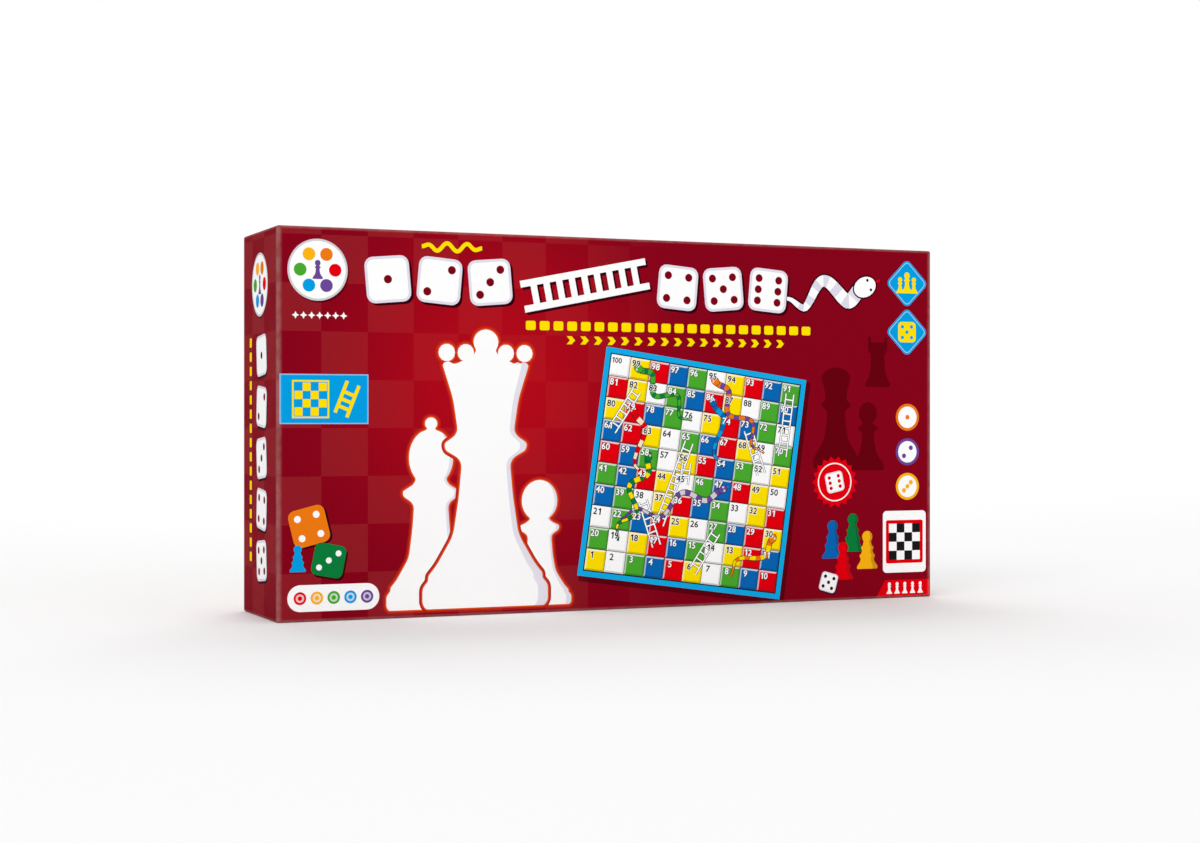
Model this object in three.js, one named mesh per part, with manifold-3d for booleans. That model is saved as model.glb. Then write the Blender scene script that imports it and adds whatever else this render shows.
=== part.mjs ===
// A boxed two-in-one board game, in millimetres: a lid and a base of greyboard wrapped in printed paper, and
// in them a folding board, a formed tray, two sides of chess pieces, four counters, a die and a rule sheet.
// The box stands on its long edge. X runs along that edge, Y from the printed front to the back, and Z up.
// The origin is the middle of the face that the box stands on.

import * as THREE from "three";
import { RoundedBoxGeometry } from "three/addons/geometries/RoundedBoxGeometry.js";
import { mergeVertices } from "three/addons/utils/BufferGeometryUtils.js";
import Module from "manifold-3d";

const wasm = await Module();
wasm.setup();

// The box
const boxDepth = 50;
const greyboard = 1.5;
const wrapPaper = 0.3;
const glueLine = 0.05;
const turnIn = 15;
const lidFit = 0.5;
const lidShort = 1;
const rimRoom = 0.5;

// The folding board
const boardSide = 254;
const coreThickness = 1.4;
const sheetThickness = 0.25;
const foldGap = 0.9;
const foldRelief = 0.3;
const filmThickness = 0.3;
const filmWing = 4;
const boardEndRoom = 2;
const boardTopRoom = 1.7;
const lidRoom = 0.6;
const deckRoom = 0.4;

// The formed tray
const traySheet = 1;
const trayFit = 0.4;
const rib = 3;
const wellRoom = 3;
const headRoom = 1.2;
const pieceGap = 0.8;
const seat = 0.3;

// The chess pieces, each with the width of its foot and its height
const kingBase = 18.5;
const kingHeight = 41.5;
const queenBase = 18.5;
const queenHeight = 38.5;
const bishopBase = 17;
const bishopHeight = 35;
const knightBase = 17;
const knightHeight = 33;
const knightThickness = 7;
const rookBase = 17;
const rookHeight = 29.5;
const pawnBase = 14.8;
const pawnHeight = 27;
const crossBar = 2.2;
const crossSpan = 6.4;
const crenelWidth = 2.6;
const coronetNotch = 1.6;
const mitreSlit = 1.2;
const pawnsPerSide = 8;
const turnedSides = 12;

// The counters, the die and the rule sheet
const counterBase = 15;
const counterHeight = 24;
const counterColours = { red: 0xd81f12, yellow: 0xf0b800, green: 0x0a7a38, blue: 0x0b5aa2 };
const dieSide = 13;
const dieRound = 1.6;
const ruleSheetLength = 88;
const ruleSheetHeight = 40;
const ruleSheetThickness = 1.2;

// Sizes that follow from the ones above
const sides = ["dark", "light"];
const backRank = ["rook", "knight", "bishop", "queen", "king", "bishop", "knight", "rook"];
const counters = Object.keys(counterColours);
const wall = greyboard + 2 * (glueLine + wrapPaper);
const leafWidth = boardSide / 2 - foldRelief;
const leafThickness = coreThickness + 2 * (glueLine + sheetThickness);
const officerPitch = Math.max(kingBase, queenBase, bishopBase, knightBase, rookBase) + pieceGap;
const pawnPitch = pawnBase + pieceGap;
const counterPitch = counterBase + pieceGap;
const officerRow = Math.max(kingHeight, queenHeight, bishopHeight, knightHeight, rookHeight) + seat + headRoom;
const countersRow = Math.max(counterHeight, dieSide) + seat + headRoom;
const topRow = Math.max(officerRow, countersRow);
const bottomRow = Math.max(officerRow, ruleSheetHeight + seat + headRoom);
const pawnRow = pawnHeight + seat + headRoom;
const officersLength = backRank.length * officerPitch;
const countersLength = counters.length * counterPitch + dieSide + 2 * pieceGap;
const sideWellLength = Math.max(countersLength, ruleSheetLength + 2 * pieceGap);
const pawnsLength = sides.length * pawnsPerSide * pawnPitch;
const rowLength = Math.max(pawnsLength, officersLength + rib + sideWellLength);
const rowsHeight = topRow + pawnRow + bottomRow + 2 * rib;
const foldedHeight = leafWidth + Math.max(foldRelief, filmThickness);
const clearX = Math.max(boardSide + 2 * boardEndRoom, rowLength + 2 * (rib + trayFit));
const clearZ = Math.max(foldedHeight + seat + boardTopRoom, rowsHeight + 2 * (rib + trayFit));
const boxLength = clearX + 2 * (2 * wall + lidFit);
const boxHeight = clearZ + 2 * (2 * wall + lidFit);

// Places through the depth of the box, from the front to the back
const frontY = -boxDepth / 2;
const backY = boxDepth / 2;
const lidInsideY = frontY + wrapPaper + glueLine + greyboard;
const frontLeafY = lidInsideY + lidRoom;
const foldY = frontLeafY + leafThickness + foldGap / 2;
const rearLeafY = foldY + foldGap / 2;
const deckY = rearLeafY + leafThickness + deckRoom;
const baseInsideY = backY - wrapPaper - glueLine - greyboard;
const trayBackY = baseInsideY - seat;
const widestFoot = Math.max(officerPitch, pawnPitch, counterPitch) - pieceGap;
const wellFloorY = deckY + Math.max(widestFoot, dieSide, ruleSheetThickness) + 2 * seat + wellRoom;

// Places up the height of the box
const middleZ = boxHeight / 2;
const floorZ = middleZ - clearZ / 2;
const leafBottomZ = floorZ + seat;
const leafTopZ = leafBottomZ + leafWidth;

const paint = (color, roughness) => new THREE.MeshStandardMaterial({ color, roughness, metalness: 0 });
const finishes = {
  print: paint(0x85041a, 0.3),
  plainPaper: paint(0xf2efe8, 0.6),
  greyboard: paint(0x9b958a, 0.9),
  boardPrint: paint(0x12abe7, 0.3),
  film: paint(0xe8edf0, 0.4),
  trayPlastic: paint(0xf4f4f2, 0.35),
  dark: paint(0x17171a, 0.3),
  light: paint(0xf3ead6, 0.3),
  die: paint(0xffffff, 0.25),
};

const group = new THREE.Group();

function addPiece(name, geometry, material) {
  const mesh = new THREE.Mesh(geometry, material);
  mesh.name = name;
  group.add(mesh);
  return mesh;
}

// A box between two corners
function block([x0, y0, z0], [x1, y1, z1]) {
  const box = new THREE.BoxGeometry(x1 - x0, y1 - y0, z1 - z0);
  return box.translate((x0 + x1) / 2, (y0 + y1) / 2, (z0 + z1) / 2);
}

// A closed geometry as a solid that can be cut and joined
function solid(geometry) {
  const bare = geometry.clone();
  bare.deleteAttribute("normal");
  bare.deleteAttribute("uv");
  const merged = mergeVertices(bare);
  const triangles = [];
  const { array } = merged.index;
  for (let i = 0; i < array.length; i += 3) {
    const [a, b, c] = [array[i], array[i + 1], array[i + 2]];
    if (a !== b && b !== c && c !== a) {
      triangles.push(a, b, c);
    }
  }
  const mesh = new wasm.Mesh({
    numProp: 3,
    vertProperties: merged.getAttribute("position").array,
    triVerts: new Uint32Array(triangles),
  });
  return new wasm.Manifold(mesh);
}

function geometryOf(manifold) {
  const { vertProperties, triVerts } = manifold.getMesh();
  const geometry = new THREE.BufferGeometry();
  geometry.setAttribute("position", new THREE.BufferAttribute(vertProperties, 3));
  geometry.setIndex(new THREE.BufferAttribute(triVerts, 1));
  geometry.computeVertexNormals();
  return geometry;
}

// One half of the box: a greyboard tray and the paper round it, which is folded in over the rim. The outer
// face of its panel lies at `panelY`, and `mouth` is the way along Y that it opens, 1 or -1.
function boxHalf({ name, length, height, panelY, mouth, depth }) {
  const slab = (inset, from, to) => {
    const [near, far] = [panelY + mouth * from, panelY + mouth * to].sort((a, b) => a - b);
    const x = length / 2 - inset;
    const z = height / 2 - inset;
    return solid(block([-x, near, middleZ - z], [x, far, middleZ + z]));
  };
  const skin = wrapPaper + glueLine;
  const past = depth + wall;
  const shell = slab(skin, skin, depth - skin).subtract(slab(skin + greyboard, skin + greyboard, past));
  const jacket = slab(0, 0, depth).subtract(slab(wrapPaper, wrapPaper, depth - wrapPaper));
  const lining = slab(wall - wrapPaper, depth - turnIn, depth);
  const wrap = jacket.add(lining).subtract(slab(wall, depth - turnIn - wrapPaper, past));
  addPiece(`${name}_shell`, geometryOf(shell), finishes.greyboard);
  addPiece(`${name}_wrap`, geometryOf(wrap), finishes.print);
}

// One leaf of the board: a core between two printed sheets. The snakes and ladders lie on the inner face.
function leaf({ name, nearY, innerIsFar }) {
  const layer = (from, to) =>
    block([-boardSide / 2, nearY + from, leafBottomZ], [boardSide / 2, nearY + to, leafTopZ]);
  const coreFrom = sheetThickness + glueLine;
  const farFrom = coreFrom + coreThickness + glueLine;
  const games = innerIsFar ? ["chess", "snakes"] : ["snakes", "chess"];
  addPiece(`${name}_${games[0]}_sheet`, layer(0, sheetThickness), finishes.boardPrint);
  addPiece(`${name}_core`, layer(coreFrom, coreFrom + coreThickness), finishes.greyboard);
  addPiece(`${name}_${games[1]}_sheet`, layer(farFrom, leafThickness), finishes.boardPrint);
}

// The film that joins the leaves: a wing on each inner face and a bridge over the fold
function hingeFilm() {
  const outer = foldGap / 2 - glueLine;
  const inner = outer - filmThickness;
  const outline = new THREE.Shape();
  outline.moveTo(-outer, -filmWing);
  outline.lineTo(-inner, -filmWing);
  outline.lineTo(-inner, 0);
  outline.lineTo(inner, 0);
  outline.lineTo(inner, -filmWing);
  outline.lineTo(outer, -filmWing);
  outline.lineTo(outer, filmThickness);
  outline.lineTo(-outer, filmThickness);
  const strip = new THREE.ExtrudeGeometry(outline, { depth: boardSide, bevelEnabled: false });
  const alongX = new THREE.Matrix4().set(0, 0, 1, -boardSide / 2, 1, 0, 0, foldY, 0, 1, 0, leafTopZ, 0, 0, 0, 1);
  addPiece("board_hinge_film", strip.applyMatrix4(alongX), finishes.film);
}

// The wells of the tray, each with its corners as the box stands
function trayWells() {
  const left = -clearX / 2 + trayFit + rib;
  const right = -left;
  const officersRight = left + officersLength;
  const spare = clearZ - 2 * trayFit - rowsHeight;
  const bottomZ = floorZ + trayFit + spare / 2;
  const pawnsZ = bottomZ + bottomRow + rib;
  const topZ = pawnsZ + pawnRow + rib;
  return {
    lightOfficers: { left, right: officersRight, bottom: bottomZ, top: bottomZ + bottomRow },
    ruleSheet: { left: officersRight + rib, right, bottom: bottomZ, top: bottomZ + bottomRow },
    pawns: { left, right, bottom: pawnsZ, top: pawnsZ + pawnRow },
    darkOfficers: { left, right: officersRight, bottom: topZ, top: topZ + topRow },
    counters: { left: officersRight + rib, right, bottom: topZ, top: topZ + topRow },
  };
}

// The tray is one formed sheet: a deck with a skirt down to the base, and a tub for each well
function pieceTray(wells) {
  const x = clearX / 2 - trayFit;
  const z = clearZ / 2 - trayFit;
  const outer = block([-x, deckY, middleZ - z], [x, trayBackY, middleZ + z]);
  const hollow = block(
    [-x + traySheet, deckY + traySheet, middleZ - z + traySheet],
    [x - traySheet, trayBackY + traySheet, middleZ + z - traySheet],
  );
  let tray = solid(outer).subtract(solid(hollow));
  const tub = ({ left, right, bottom, top }, grow, fromY) =>
    solid(block([left - grow, fromY, bottom - grow], [right + grow, wellFloorY + grow, top + grow]));
  for (const well of Object.values(wells)) {
    tray = tray.add(tub(well, traySheet, deckY));
  }
  for (const well of Object.values(wells)) {
    tray = tray.subtract(tub(well, 0, deckY - traySheet));
  }
  addPiece("piece_tray", geometryOf(tray), finishes.trayPlastic);
}

// Points round a bulge of an outline, from one angle to another in degrees. The half width is a share of
// the foot's radius, and the half height and the middle are shares of the height, as in every outline here.
function bulge(halfWidth, halfHeight, middle, from, to, steps) {
  const points = [];
  for (let i = 0; i <= steps; i += 1) {
    const angle = THREE.MathUtils.degToRad(from + ((to - from) * i) / steps);
    const share = i === steps && to === 90 ? 0 : halfWidth * Math.cos(angle);
    points.push([share, middle + halfHeight * Math.sin(angle)]);
  }
  return points;
}

// A turned piece, whose outline runs from the middle of its foot to the axis at its top
function turned(outline, base, height) {
  const points = outline.map(([across, up]) => new THREE.Vector2((across * base) / 2, up * height));
  return new THREE.LatheGeometry(points, turnedSides).rotateX(Math.PI / 2);
}

const foot = [[0, 0], [1, 0], [1, 0.09], [0.82, 0.16]];

function pawn() {
  const outline = [...foot, [0.42, 0.36], [0.36, 0.58], [0.62, 0.63], ...bulge(0.56, 0.16, 0.84, -50, 90, 4)];
  return turned(outline, pawnBase, pawnHeight);
}

function counter() {
  const outline = [...foot, [0.62, 0.28], [0.74, 0.36], [0.5, 0.5], [0.6, 0.57], [0.4, 0.68],
    ...bulge(0.5, 0.155, 0.845, -45, 90, 4)];
  return turned(outline, counterBase, counterHeight);
}

function rook() {
  const outline = [...foot, [0.6, 0.34], [0.54, 0.66], [0.76, 0.74], [0.76, 1], [0.52, 1], [0.52, 0.88], [0, 0.88]];
  const reach = rookBase / 2;
  const half = crenelWidth / 2;
  const floor = rookHeight * 0.88;
  const along = block([-reach, -half, floor], [reach, half, rookHeight + half]);
  const across = block([-half, -reach, floor], [half, reach, rookHeight + half]);
  return geometryOf(solid(turned(outline, rookBase, rookHeight)).subtract(solid(along)).subtract(solid(across)));
}

// The knight is a turned foot with a flat horse's head, which looks along +X
function knight() {
  const head = new THREE.Shape();
  head.moveTo(-0.56, 0.26);
  head.quadraticCurveTo(-0.86, 0.68, -0.18, 0.93);
  head.lineTo(0.02, 1);
  head.lineTo(0.18, 0.9);
  head.quadraticCurveTo(0.5, 0.86, 0.86, 0.68);
  head.quadraticCurveTo(0.96, 0.6, 0.76, 0.57);
  head.quadraticCurveTo(0.3, 0.64, 0.14, 0.55);
  head.quadraticCurveTo(0.56, 0.44, 0.56, 0.26);
  const plate = new THREE.ExtrudeGeometry(head, { depth: knightThickness, bevelEnabled: false, curveSegments: 4 });
  const upright = new THREE.Matrix4().set(
    knightBase / 2, 0, 0, 0, 0, 0, -1, knightThickness / 2, 0, knightHeight, 0, 0, 0, 0, 0, 1,
  );
  const outline = [...foot, [0.62, 0.25], [0.62, 0.32], [0, 0.32]];
  return geometryOf(solid(turned(outline, knightBase, knightHeight)).add(solid(plate.applyMatrix4(upright))));
}

function bishop() {
  const outline = [...foot, [0.46, 0.34], [0.38, 0.56], [0.64, 0.61], [0.4, 0.66], ...bulge(0.5, 0.15, 0.79, -30, 60, 3),
    [0.1, 0.94], ...bulge(0.14, 0.03, 0.97, 0, 90, 2)];
  const reach = bishopBase / 2;
  const half = mitreSlit / 2;
  const slit = block([0, -reach, -half], [reach, reach, half]);
  slit.rotateY(-Math.PI / 4).translate(bishopBase * 0.06, 0, bishopHeight * 0.8);
  return geometryOf(solid(turned(outline, bishopBase, bishopHeight)).subtract(solid(slit)));
}

function queen() {
  const outline = [...foot, [0.46, 0.32], [0.38, 0.54], [0.66, 0.59], [0.42, 0.63], [0.7, 0.89], [0.5, 0.87],
    [0.2, 0.92], ...bulge(0.2, 0.04, 0.96, 0, 90, 2)];
  let piece = solid(turned(outline, queenBase, queenHeight));
  const half = coronetNotch / 2;
  const [near, far] = [queenBase * 0.28, queenBase * 0.4];
  for (let turn = 0.5; turn < turnedSides; turn += 2) {
    const notch = block([near, -half, queenHeight * 0.845], [far, half, queenHeight * 0.9]);
    piece = piece.subtract(solid(notch.rotateZ((turn * 2 * Math.PI) / turnedSides)));
  }
  return geometryOf(piece);
}

function king() {
  const outline = [...foot, [0.46, 0.3], [0.38, 0.5], [0.66, 0.55], [0.42, 0.59], [0.64, 0.78], [0.46, 0.83], [0, 0.86]];
  const half = crossBar / 2;
  const armZ = kingHeight * 0.93;
  const upright = block([-half, -half, kingHeight * 0.8], [half, half, kingHeight]);
  const arms = block([-crossSpan / 2, -half, armZ - half], [crossSpan / 2, half, armZ + half]);
  return geometryOf(solid(turned(outline, kingBase, kingHeight)).add(solid(upright)).add(solid(arms)));
}

// A piece stands on the lower wall of its well, with its foot against the well's floor
function stand(name, geometry, base, x, well, material) {
  const mesh = addPiece(name, geometry, material);
  mesh.position.set(x, wellFloorY - seat - base / 2, well.bottom + seat);
}

const officers = {
  king: { make: king, base: kingBase },
  queen: { make: queen, base: queenBase },
  bishop: { make: bishop, base: bishopBase },
  knight: { make: knight, base: knightBase },
  rook: { make: rook, base: rookBase },
};

function chessSide(side, officersWell, pawnsWell, firstPawn) {
  const files = backRank.length;
  const rankStart = (officersWell.left + officersWell.right - files * officerPitch) / 2;
  backRank.forEach((kind, file) => {
    const { make, base } = officers[kind];
    const pair = backRank.filter((other) => other === kind).length > 1;
    const wing = file < files / 2 ? "_left" : "_right";
    const x = rankStart + (file + 0.5) * officerPitch;
    stand(`${side}_${kind}${pair ? wing : ""}`, make(), base, x, officersWell, finishes[side]);
  });
  const pawnStart = (pawnsWell.left + pawnsWell.right - pawnsLength) / 2;
  for (let i = 0; i < pawnsPerSide; i += 1) {
    const x = pawnStart + (firstPawn + i + 0.5) * pawnPitch;
    stand(`${side}_pawn_${i + 1}`, pawn(), pawnBase, x, pawnsWell, finishes[side]);
  }
}

function counterSet(well) {
  const start = (well.left + well.right - countersLength) / 2;
  counters.forEach((colour, i) => {
    const x = start + (i + 0.5) * counterPitch;
    stand(`${colour}_counter`, counter(), counterBase, x, well, paint(counterColours[colour], 0.3));
  });
  const dieX = start + counters.length * counterPitch + pieceGap + dieSide / 2;
  const die = new RoundedBoxGeometry(dieSide, dieSide, dieSide, 1, dieRound).translate(0, 0, dieSide / 2);
  stand("die", die, dieSide, dieX, well, finishes.die);
}

function ruleSheet(well) {
  const half = ruleSheetThickness / 2;
  const slab = block([-ruleSheetLength / 2, -half, 0], [ruleSheetLength / 2, half, ruleSheetHeight]);
  stand("rule_sheet", slab, ruleSheetThickness, (well.left + well.right) / 2, well, finishes.plainPaper);
}

const baseInset = wall + lidFit;
boxHalf({
  name: "lid",
  length: boxLength,
  height: boxHeight,
  panelY: frontY,
  mouth: 1,
  depth: boxDepth - lidShort,
});
boxHalf({
  name: "base",
  length: boxLength - 2 * baseInset,
  height: boxHeight - 2 * baseInset,
  panelY: backY,
  mouth: -1,
  depth: backY - lidInsideY - rimRoom,
});
leaf({ name: "front_leaf", nearY: frontLeafY, innerIsFar: true });
leaf({ name: "rear_leaf", nearY: rearLeafY, innerIsFar: false });
hingeFilm();
const wells = trayWells();
pieceTray(wells);
chessSide("dark", wells.darkOfficers, wells.pawns, 0);
chessSide("light", wells.lightOfficers, wells.pawns, pawnsPerSide);
counterSet(wells.counters);
ruleSheet(wells.ruleSheet);

export default group;
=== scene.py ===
"""Looks of a boxed two-in-one board game: snakes and ladders on one side of its board, chess on the other.

The box is a lid and a base of greyboard, wrapped in printed paper. In it lie the folding board, a formed
tray, two sides of chess pieces, four counters, a die and a rule sheet. Sizes are in millimetres, and meshes
are written in metres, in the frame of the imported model.
"""

import cmath
import logging
import math
from collections.abc import Callable, Iterator, Sequence
from contextlib import contextmanager
from dataclasses import dataclass, field, replace
from enum import Enum
from functools import partial

import bmesh
import bpy
import numpy as np
from mathutils import Matrix, Vector
from mathutils.geometry import delaunay_2d_cdt


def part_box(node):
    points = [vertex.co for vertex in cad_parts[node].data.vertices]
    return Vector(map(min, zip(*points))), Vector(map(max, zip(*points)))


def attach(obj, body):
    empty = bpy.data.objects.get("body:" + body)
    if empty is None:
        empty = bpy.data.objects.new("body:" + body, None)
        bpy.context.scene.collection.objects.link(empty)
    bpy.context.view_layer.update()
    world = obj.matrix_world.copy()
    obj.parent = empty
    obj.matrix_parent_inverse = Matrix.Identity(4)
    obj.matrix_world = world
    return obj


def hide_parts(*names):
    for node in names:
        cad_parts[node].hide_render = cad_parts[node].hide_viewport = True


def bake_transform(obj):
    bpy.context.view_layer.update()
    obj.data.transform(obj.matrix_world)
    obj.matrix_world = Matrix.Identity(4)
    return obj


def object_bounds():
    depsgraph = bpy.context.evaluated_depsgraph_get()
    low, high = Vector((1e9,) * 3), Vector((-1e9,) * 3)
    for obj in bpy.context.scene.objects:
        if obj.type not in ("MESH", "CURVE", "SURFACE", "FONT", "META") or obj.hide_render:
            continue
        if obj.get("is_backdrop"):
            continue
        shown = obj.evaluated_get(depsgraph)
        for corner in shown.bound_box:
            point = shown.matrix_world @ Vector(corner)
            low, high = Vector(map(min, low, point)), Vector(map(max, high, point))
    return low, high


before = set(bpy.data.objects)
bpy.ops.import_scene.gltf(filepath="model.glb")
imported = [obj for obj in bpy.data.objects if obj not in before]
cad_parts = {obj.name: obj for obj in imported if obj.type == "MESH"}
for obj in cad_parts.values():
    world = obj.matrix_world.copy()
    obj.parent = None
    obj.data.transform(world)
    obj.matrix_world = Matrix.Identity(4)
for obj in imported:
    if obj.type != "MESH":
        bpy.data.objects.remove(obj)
CAD_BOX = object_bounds()

MM = 0.001
INK_LAYER = "ink"
SHEET_MAP = "sheet"
BAKE_MAP = "OFBake"
PHOTO_WIDTH = 1200
# Points that lie closer than this are one point
WELD = 1e-4
# How far inside its panel's edges the print ends
PRINT_EDGE = 0.02
CORNER_STEPS = 6
TURNED_SIDES = 40
TURNED_STEPS = 3
# The sine and cosine of even steps round a quarter turn
QUARTER = [(math.sin(a), math.cos(a)) for a in np.linspace(0, math.pi / 2, CORNER_STEPS + 1)]
SMOOTH_ANGLE = math.radians(38)

# An outline is an array of complex numbers, across + up * 1j, in millimetres
Outline = np.ndarray
Colour = tuple[float, float, float, float]
Spot = tuple[float, float, float]
Profile = list[tuple[float, float]]
Ways = tuple[tuple[int, int], ...]
Mesh = bpy.types.Mesh
Socket = bpy.types.NodeSocket
Adder = Callable[..., Socket]
Layers = list[tuple[Socket, Socket | Colour]]
Placer = Callable[[complex, float], Spot]

BARE: Colour = (1.0, 1.0, 1.0, 0.0)
log = logging.getLogger("boxed_board_game")


def linear(hex_colour: str) -> Colour:
    """Returns an sRGB hex colour as linear light: red, green and blue from 0 to 1, and an alpha of 1."""
    shares = [int(hex_colour[i:i + 2], 16) / 255 for i in (1, 3, 5)]
    return (*(s / 12.92 if s <= 0.04045 else ((s + 0.055) / 1.055) ** 2.4 for s in shares), 1.0)


def add_node(
    tree: bpy.types.NodeTree, kind: str, inputs: dict | Sequence = (), out: str | int = 0, **settings: object
) -> Socket | None:
    """Adds a node with its settings and links.

    Args:
        tree: the tree that gets the node.
        kind: the node's type.
        inputs: values, or sockets to link, by the inputs' names or numbers, or in their order.
        out: the name or number of the output that is wanted.
        settings: the node's own properties.

    Returns:
        That output, or nothing for a node that has none.
    """
    node = tree.nodes.new(kind)
    for name, value in settings.items():
        setattr(node, name, value)
    for key, value in inputs.items() if isinstance(inputs, dict) else enumerate(inputs):
        if isinstance(value, Socket):
            tree.links.new(value, node.inputs[key])
        else:
            node.inputs[key].default_value = value
    return node.outputs[out] if node.outputs else None


def cleared(owner: bpy.types.Material | bpy.types.World) -> Adder:
    """Clears the nodes of a material or a world.

    Args:
        owner: the material or the world.

    Returns:
        What adds a node to it.
    """
    owner.use_nodes = True
    owner.node_tree.nodes.clear()
    return partial(add_node, owner.node_tree)


class Ink(Enum):
    """Inks of the print, as sRGB hex colours."""

    WHITE = "#ffffff"
    LILAC = "#dedae8"
    GHOST = "#4d0007"
    SHADOW = "#38030c"
    CRIMSON = "#7d0517"
    RED = "#e3000f"
    FLAME = "#dc3218"
    YELLOW = "#ffe100"
    AMBER = "#fbb414"
    ORANGE = "#ee7a12"
    GREEN = "#49a92f"
    LEAF = "#0b7d3b"
    SKY = "#049ee2"
    BORDER = "#12abe7"
    BLUE = "#0a66b4"
    VIOLET = "#6b4897"
    BLACK = "#1b1a1c"
    GREY = "#7d7b80"
    MIST = "#d2d0d4"
    CREAM = "#f5e6c6"
    WINE = "#7f1722"
    UMBER = "#3a150f"

    def tone(self, other: "Ink | None" = None, share: float = 0.0, cover: float = 1.0) -> Colour:
        """Mixes this ink with another.

        Args:
            other: the second ink, if any.
            share: how much of the second ink there is, from 0 to 1.
            cover: how much of the paper's ground colour the ink hides.

        Returns:
            The colour in linear light, with the cover as its alpha.
        """
        first, second = linear(self.value), linear((other or self).value)
        red, green, blue = (a + (b - a) * share for a, b in zip(first[:3], second[:3]))
        return red, green, blue, cover


@dataclass(frozen=True)
class Finish:
    """A material that is made once and shared: two tones in clouds, with gloss that follows the clouds."""

    name: str
    tone: str
    cloud: str
    grain: float
    gloss: tuple[float, float]
    drawn: Spot = (1.0, 1.0, 1.0)
    relief: float = 0.0
    specular: float = 0.5
    alpha: float = 1.0

    def material(self) -> bpy.types.Material:
        """Makes the material at the first call.

        Returns:
            The material, with its node tree built.
        """
        if self.name in bpy.data.materials:
            return bpy.data.materials[self.name]
        made = bpy.data.materials.new(self.name)
        add = cleared(made)
        place = add("ShaderNodeTexCoord", out="Object")
        grain = self.pattern(add, place)
        colour = linear(self.tone)
        for share, over in self.layers(add, place, grain):
            # Inputs 0, 6 and 7 are the share and the two colours, and output 2 is the colour that they give
            colour = add("ShaderNodeMix", {0: share, 6: colour, 7: over}, 2, data_type="RGBA")
        parts = {
            "Base Color": colour,
            "Roughness": add("ShaderNodeMapRange", [grain, 0.0, 1.0, *self.gloss]),
            "Specular IOR Level": self.specular,
            "Alpha": self.alpha,
        }
        if self.relief:
            height = {"Height": grain, "Strength": 0.3, "Distance": self.relief * MM}
            parts["Normal"] = add("ShaderNodeBump", height)
        add("ShaderNodeOutputMaterial", [add("ShaderNodeBsdfPrincipled", parts)])
        return made

    def pattern(self, add: Adder, place: Socket) -> Socket:
        """Makes the grain, drawn out along the way that the material was worked.

        Args:
            add: adds a node to the material.
            place: the place on the piece.

        Returns:
            The grain, from 0 to 1.
        """
        laid = add("ShaderNodeMapping", {"Vector": place, "Scale": self.drawn})
        noise = add("ShaderNodeTexNoise", {"Vector": laid, "Scale": 1 / (self.grain * MM), "Detail": 4.0})
        return add("ShaderNodeMapRange", [noise, 0.3, 0.7])

    def layers(self, add: Adder, place: Socket, grain: Socket) -> Layers:
        """Lists the colours that lie over the tone, from the lowest.

        Args:
            add: adds a node to the material.
            place: the place on the piece.
            grain: the grain, from 0 to 1.

        Returns:
            The share that each covers, from 0 to 1, and the colour.
        """
        return [] if self.cloud == self.tone else [(grain, linear(self.cloud))]


@dataclass(frozen=True)
class Print(Finish):
    """Inks on paper, which the mesh holds face by face."""

    def layers(self, add: Adder, place: Socket, grain: Socket) -> Layers:
        """Returns the inks, which cover the paper's own tone."""
        ink = add("ShaderNodeAttribute", attribute_name=INK_LAYER)
        return [(ink.node.outputs["Alpha"], ink)]


@dataclass(frozen=True)
class TexturedPrint(Print):
    """Print on a crossed texture, such as linen varnish or the tooth of paper, which breaks up the sheen."""

    def pattern(self, add: Adder, place: Socket) -> Socket:
        """Makes the threads of the texture, which stand up where its two ways cross.

        Args:
            add: adds a node to the material.
            place: the place on the piece.

        Returns:
            The height of the threads, from 0 to 1.
        """
        # A wave texture repeats every 2 pi / 20 of a unit at scale 1
        wave = {"Vector": place, "Scale": math.tau / 20 / (self.grain * MM), "Distortion": 0.6}
        threads = [add("ShaderNodeTexWave", wave, "Fac", bands_direction=way) for way in "XZ"]
        return add("ShaderNodeMath", threads, operation="MULTIPLY")


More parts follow.
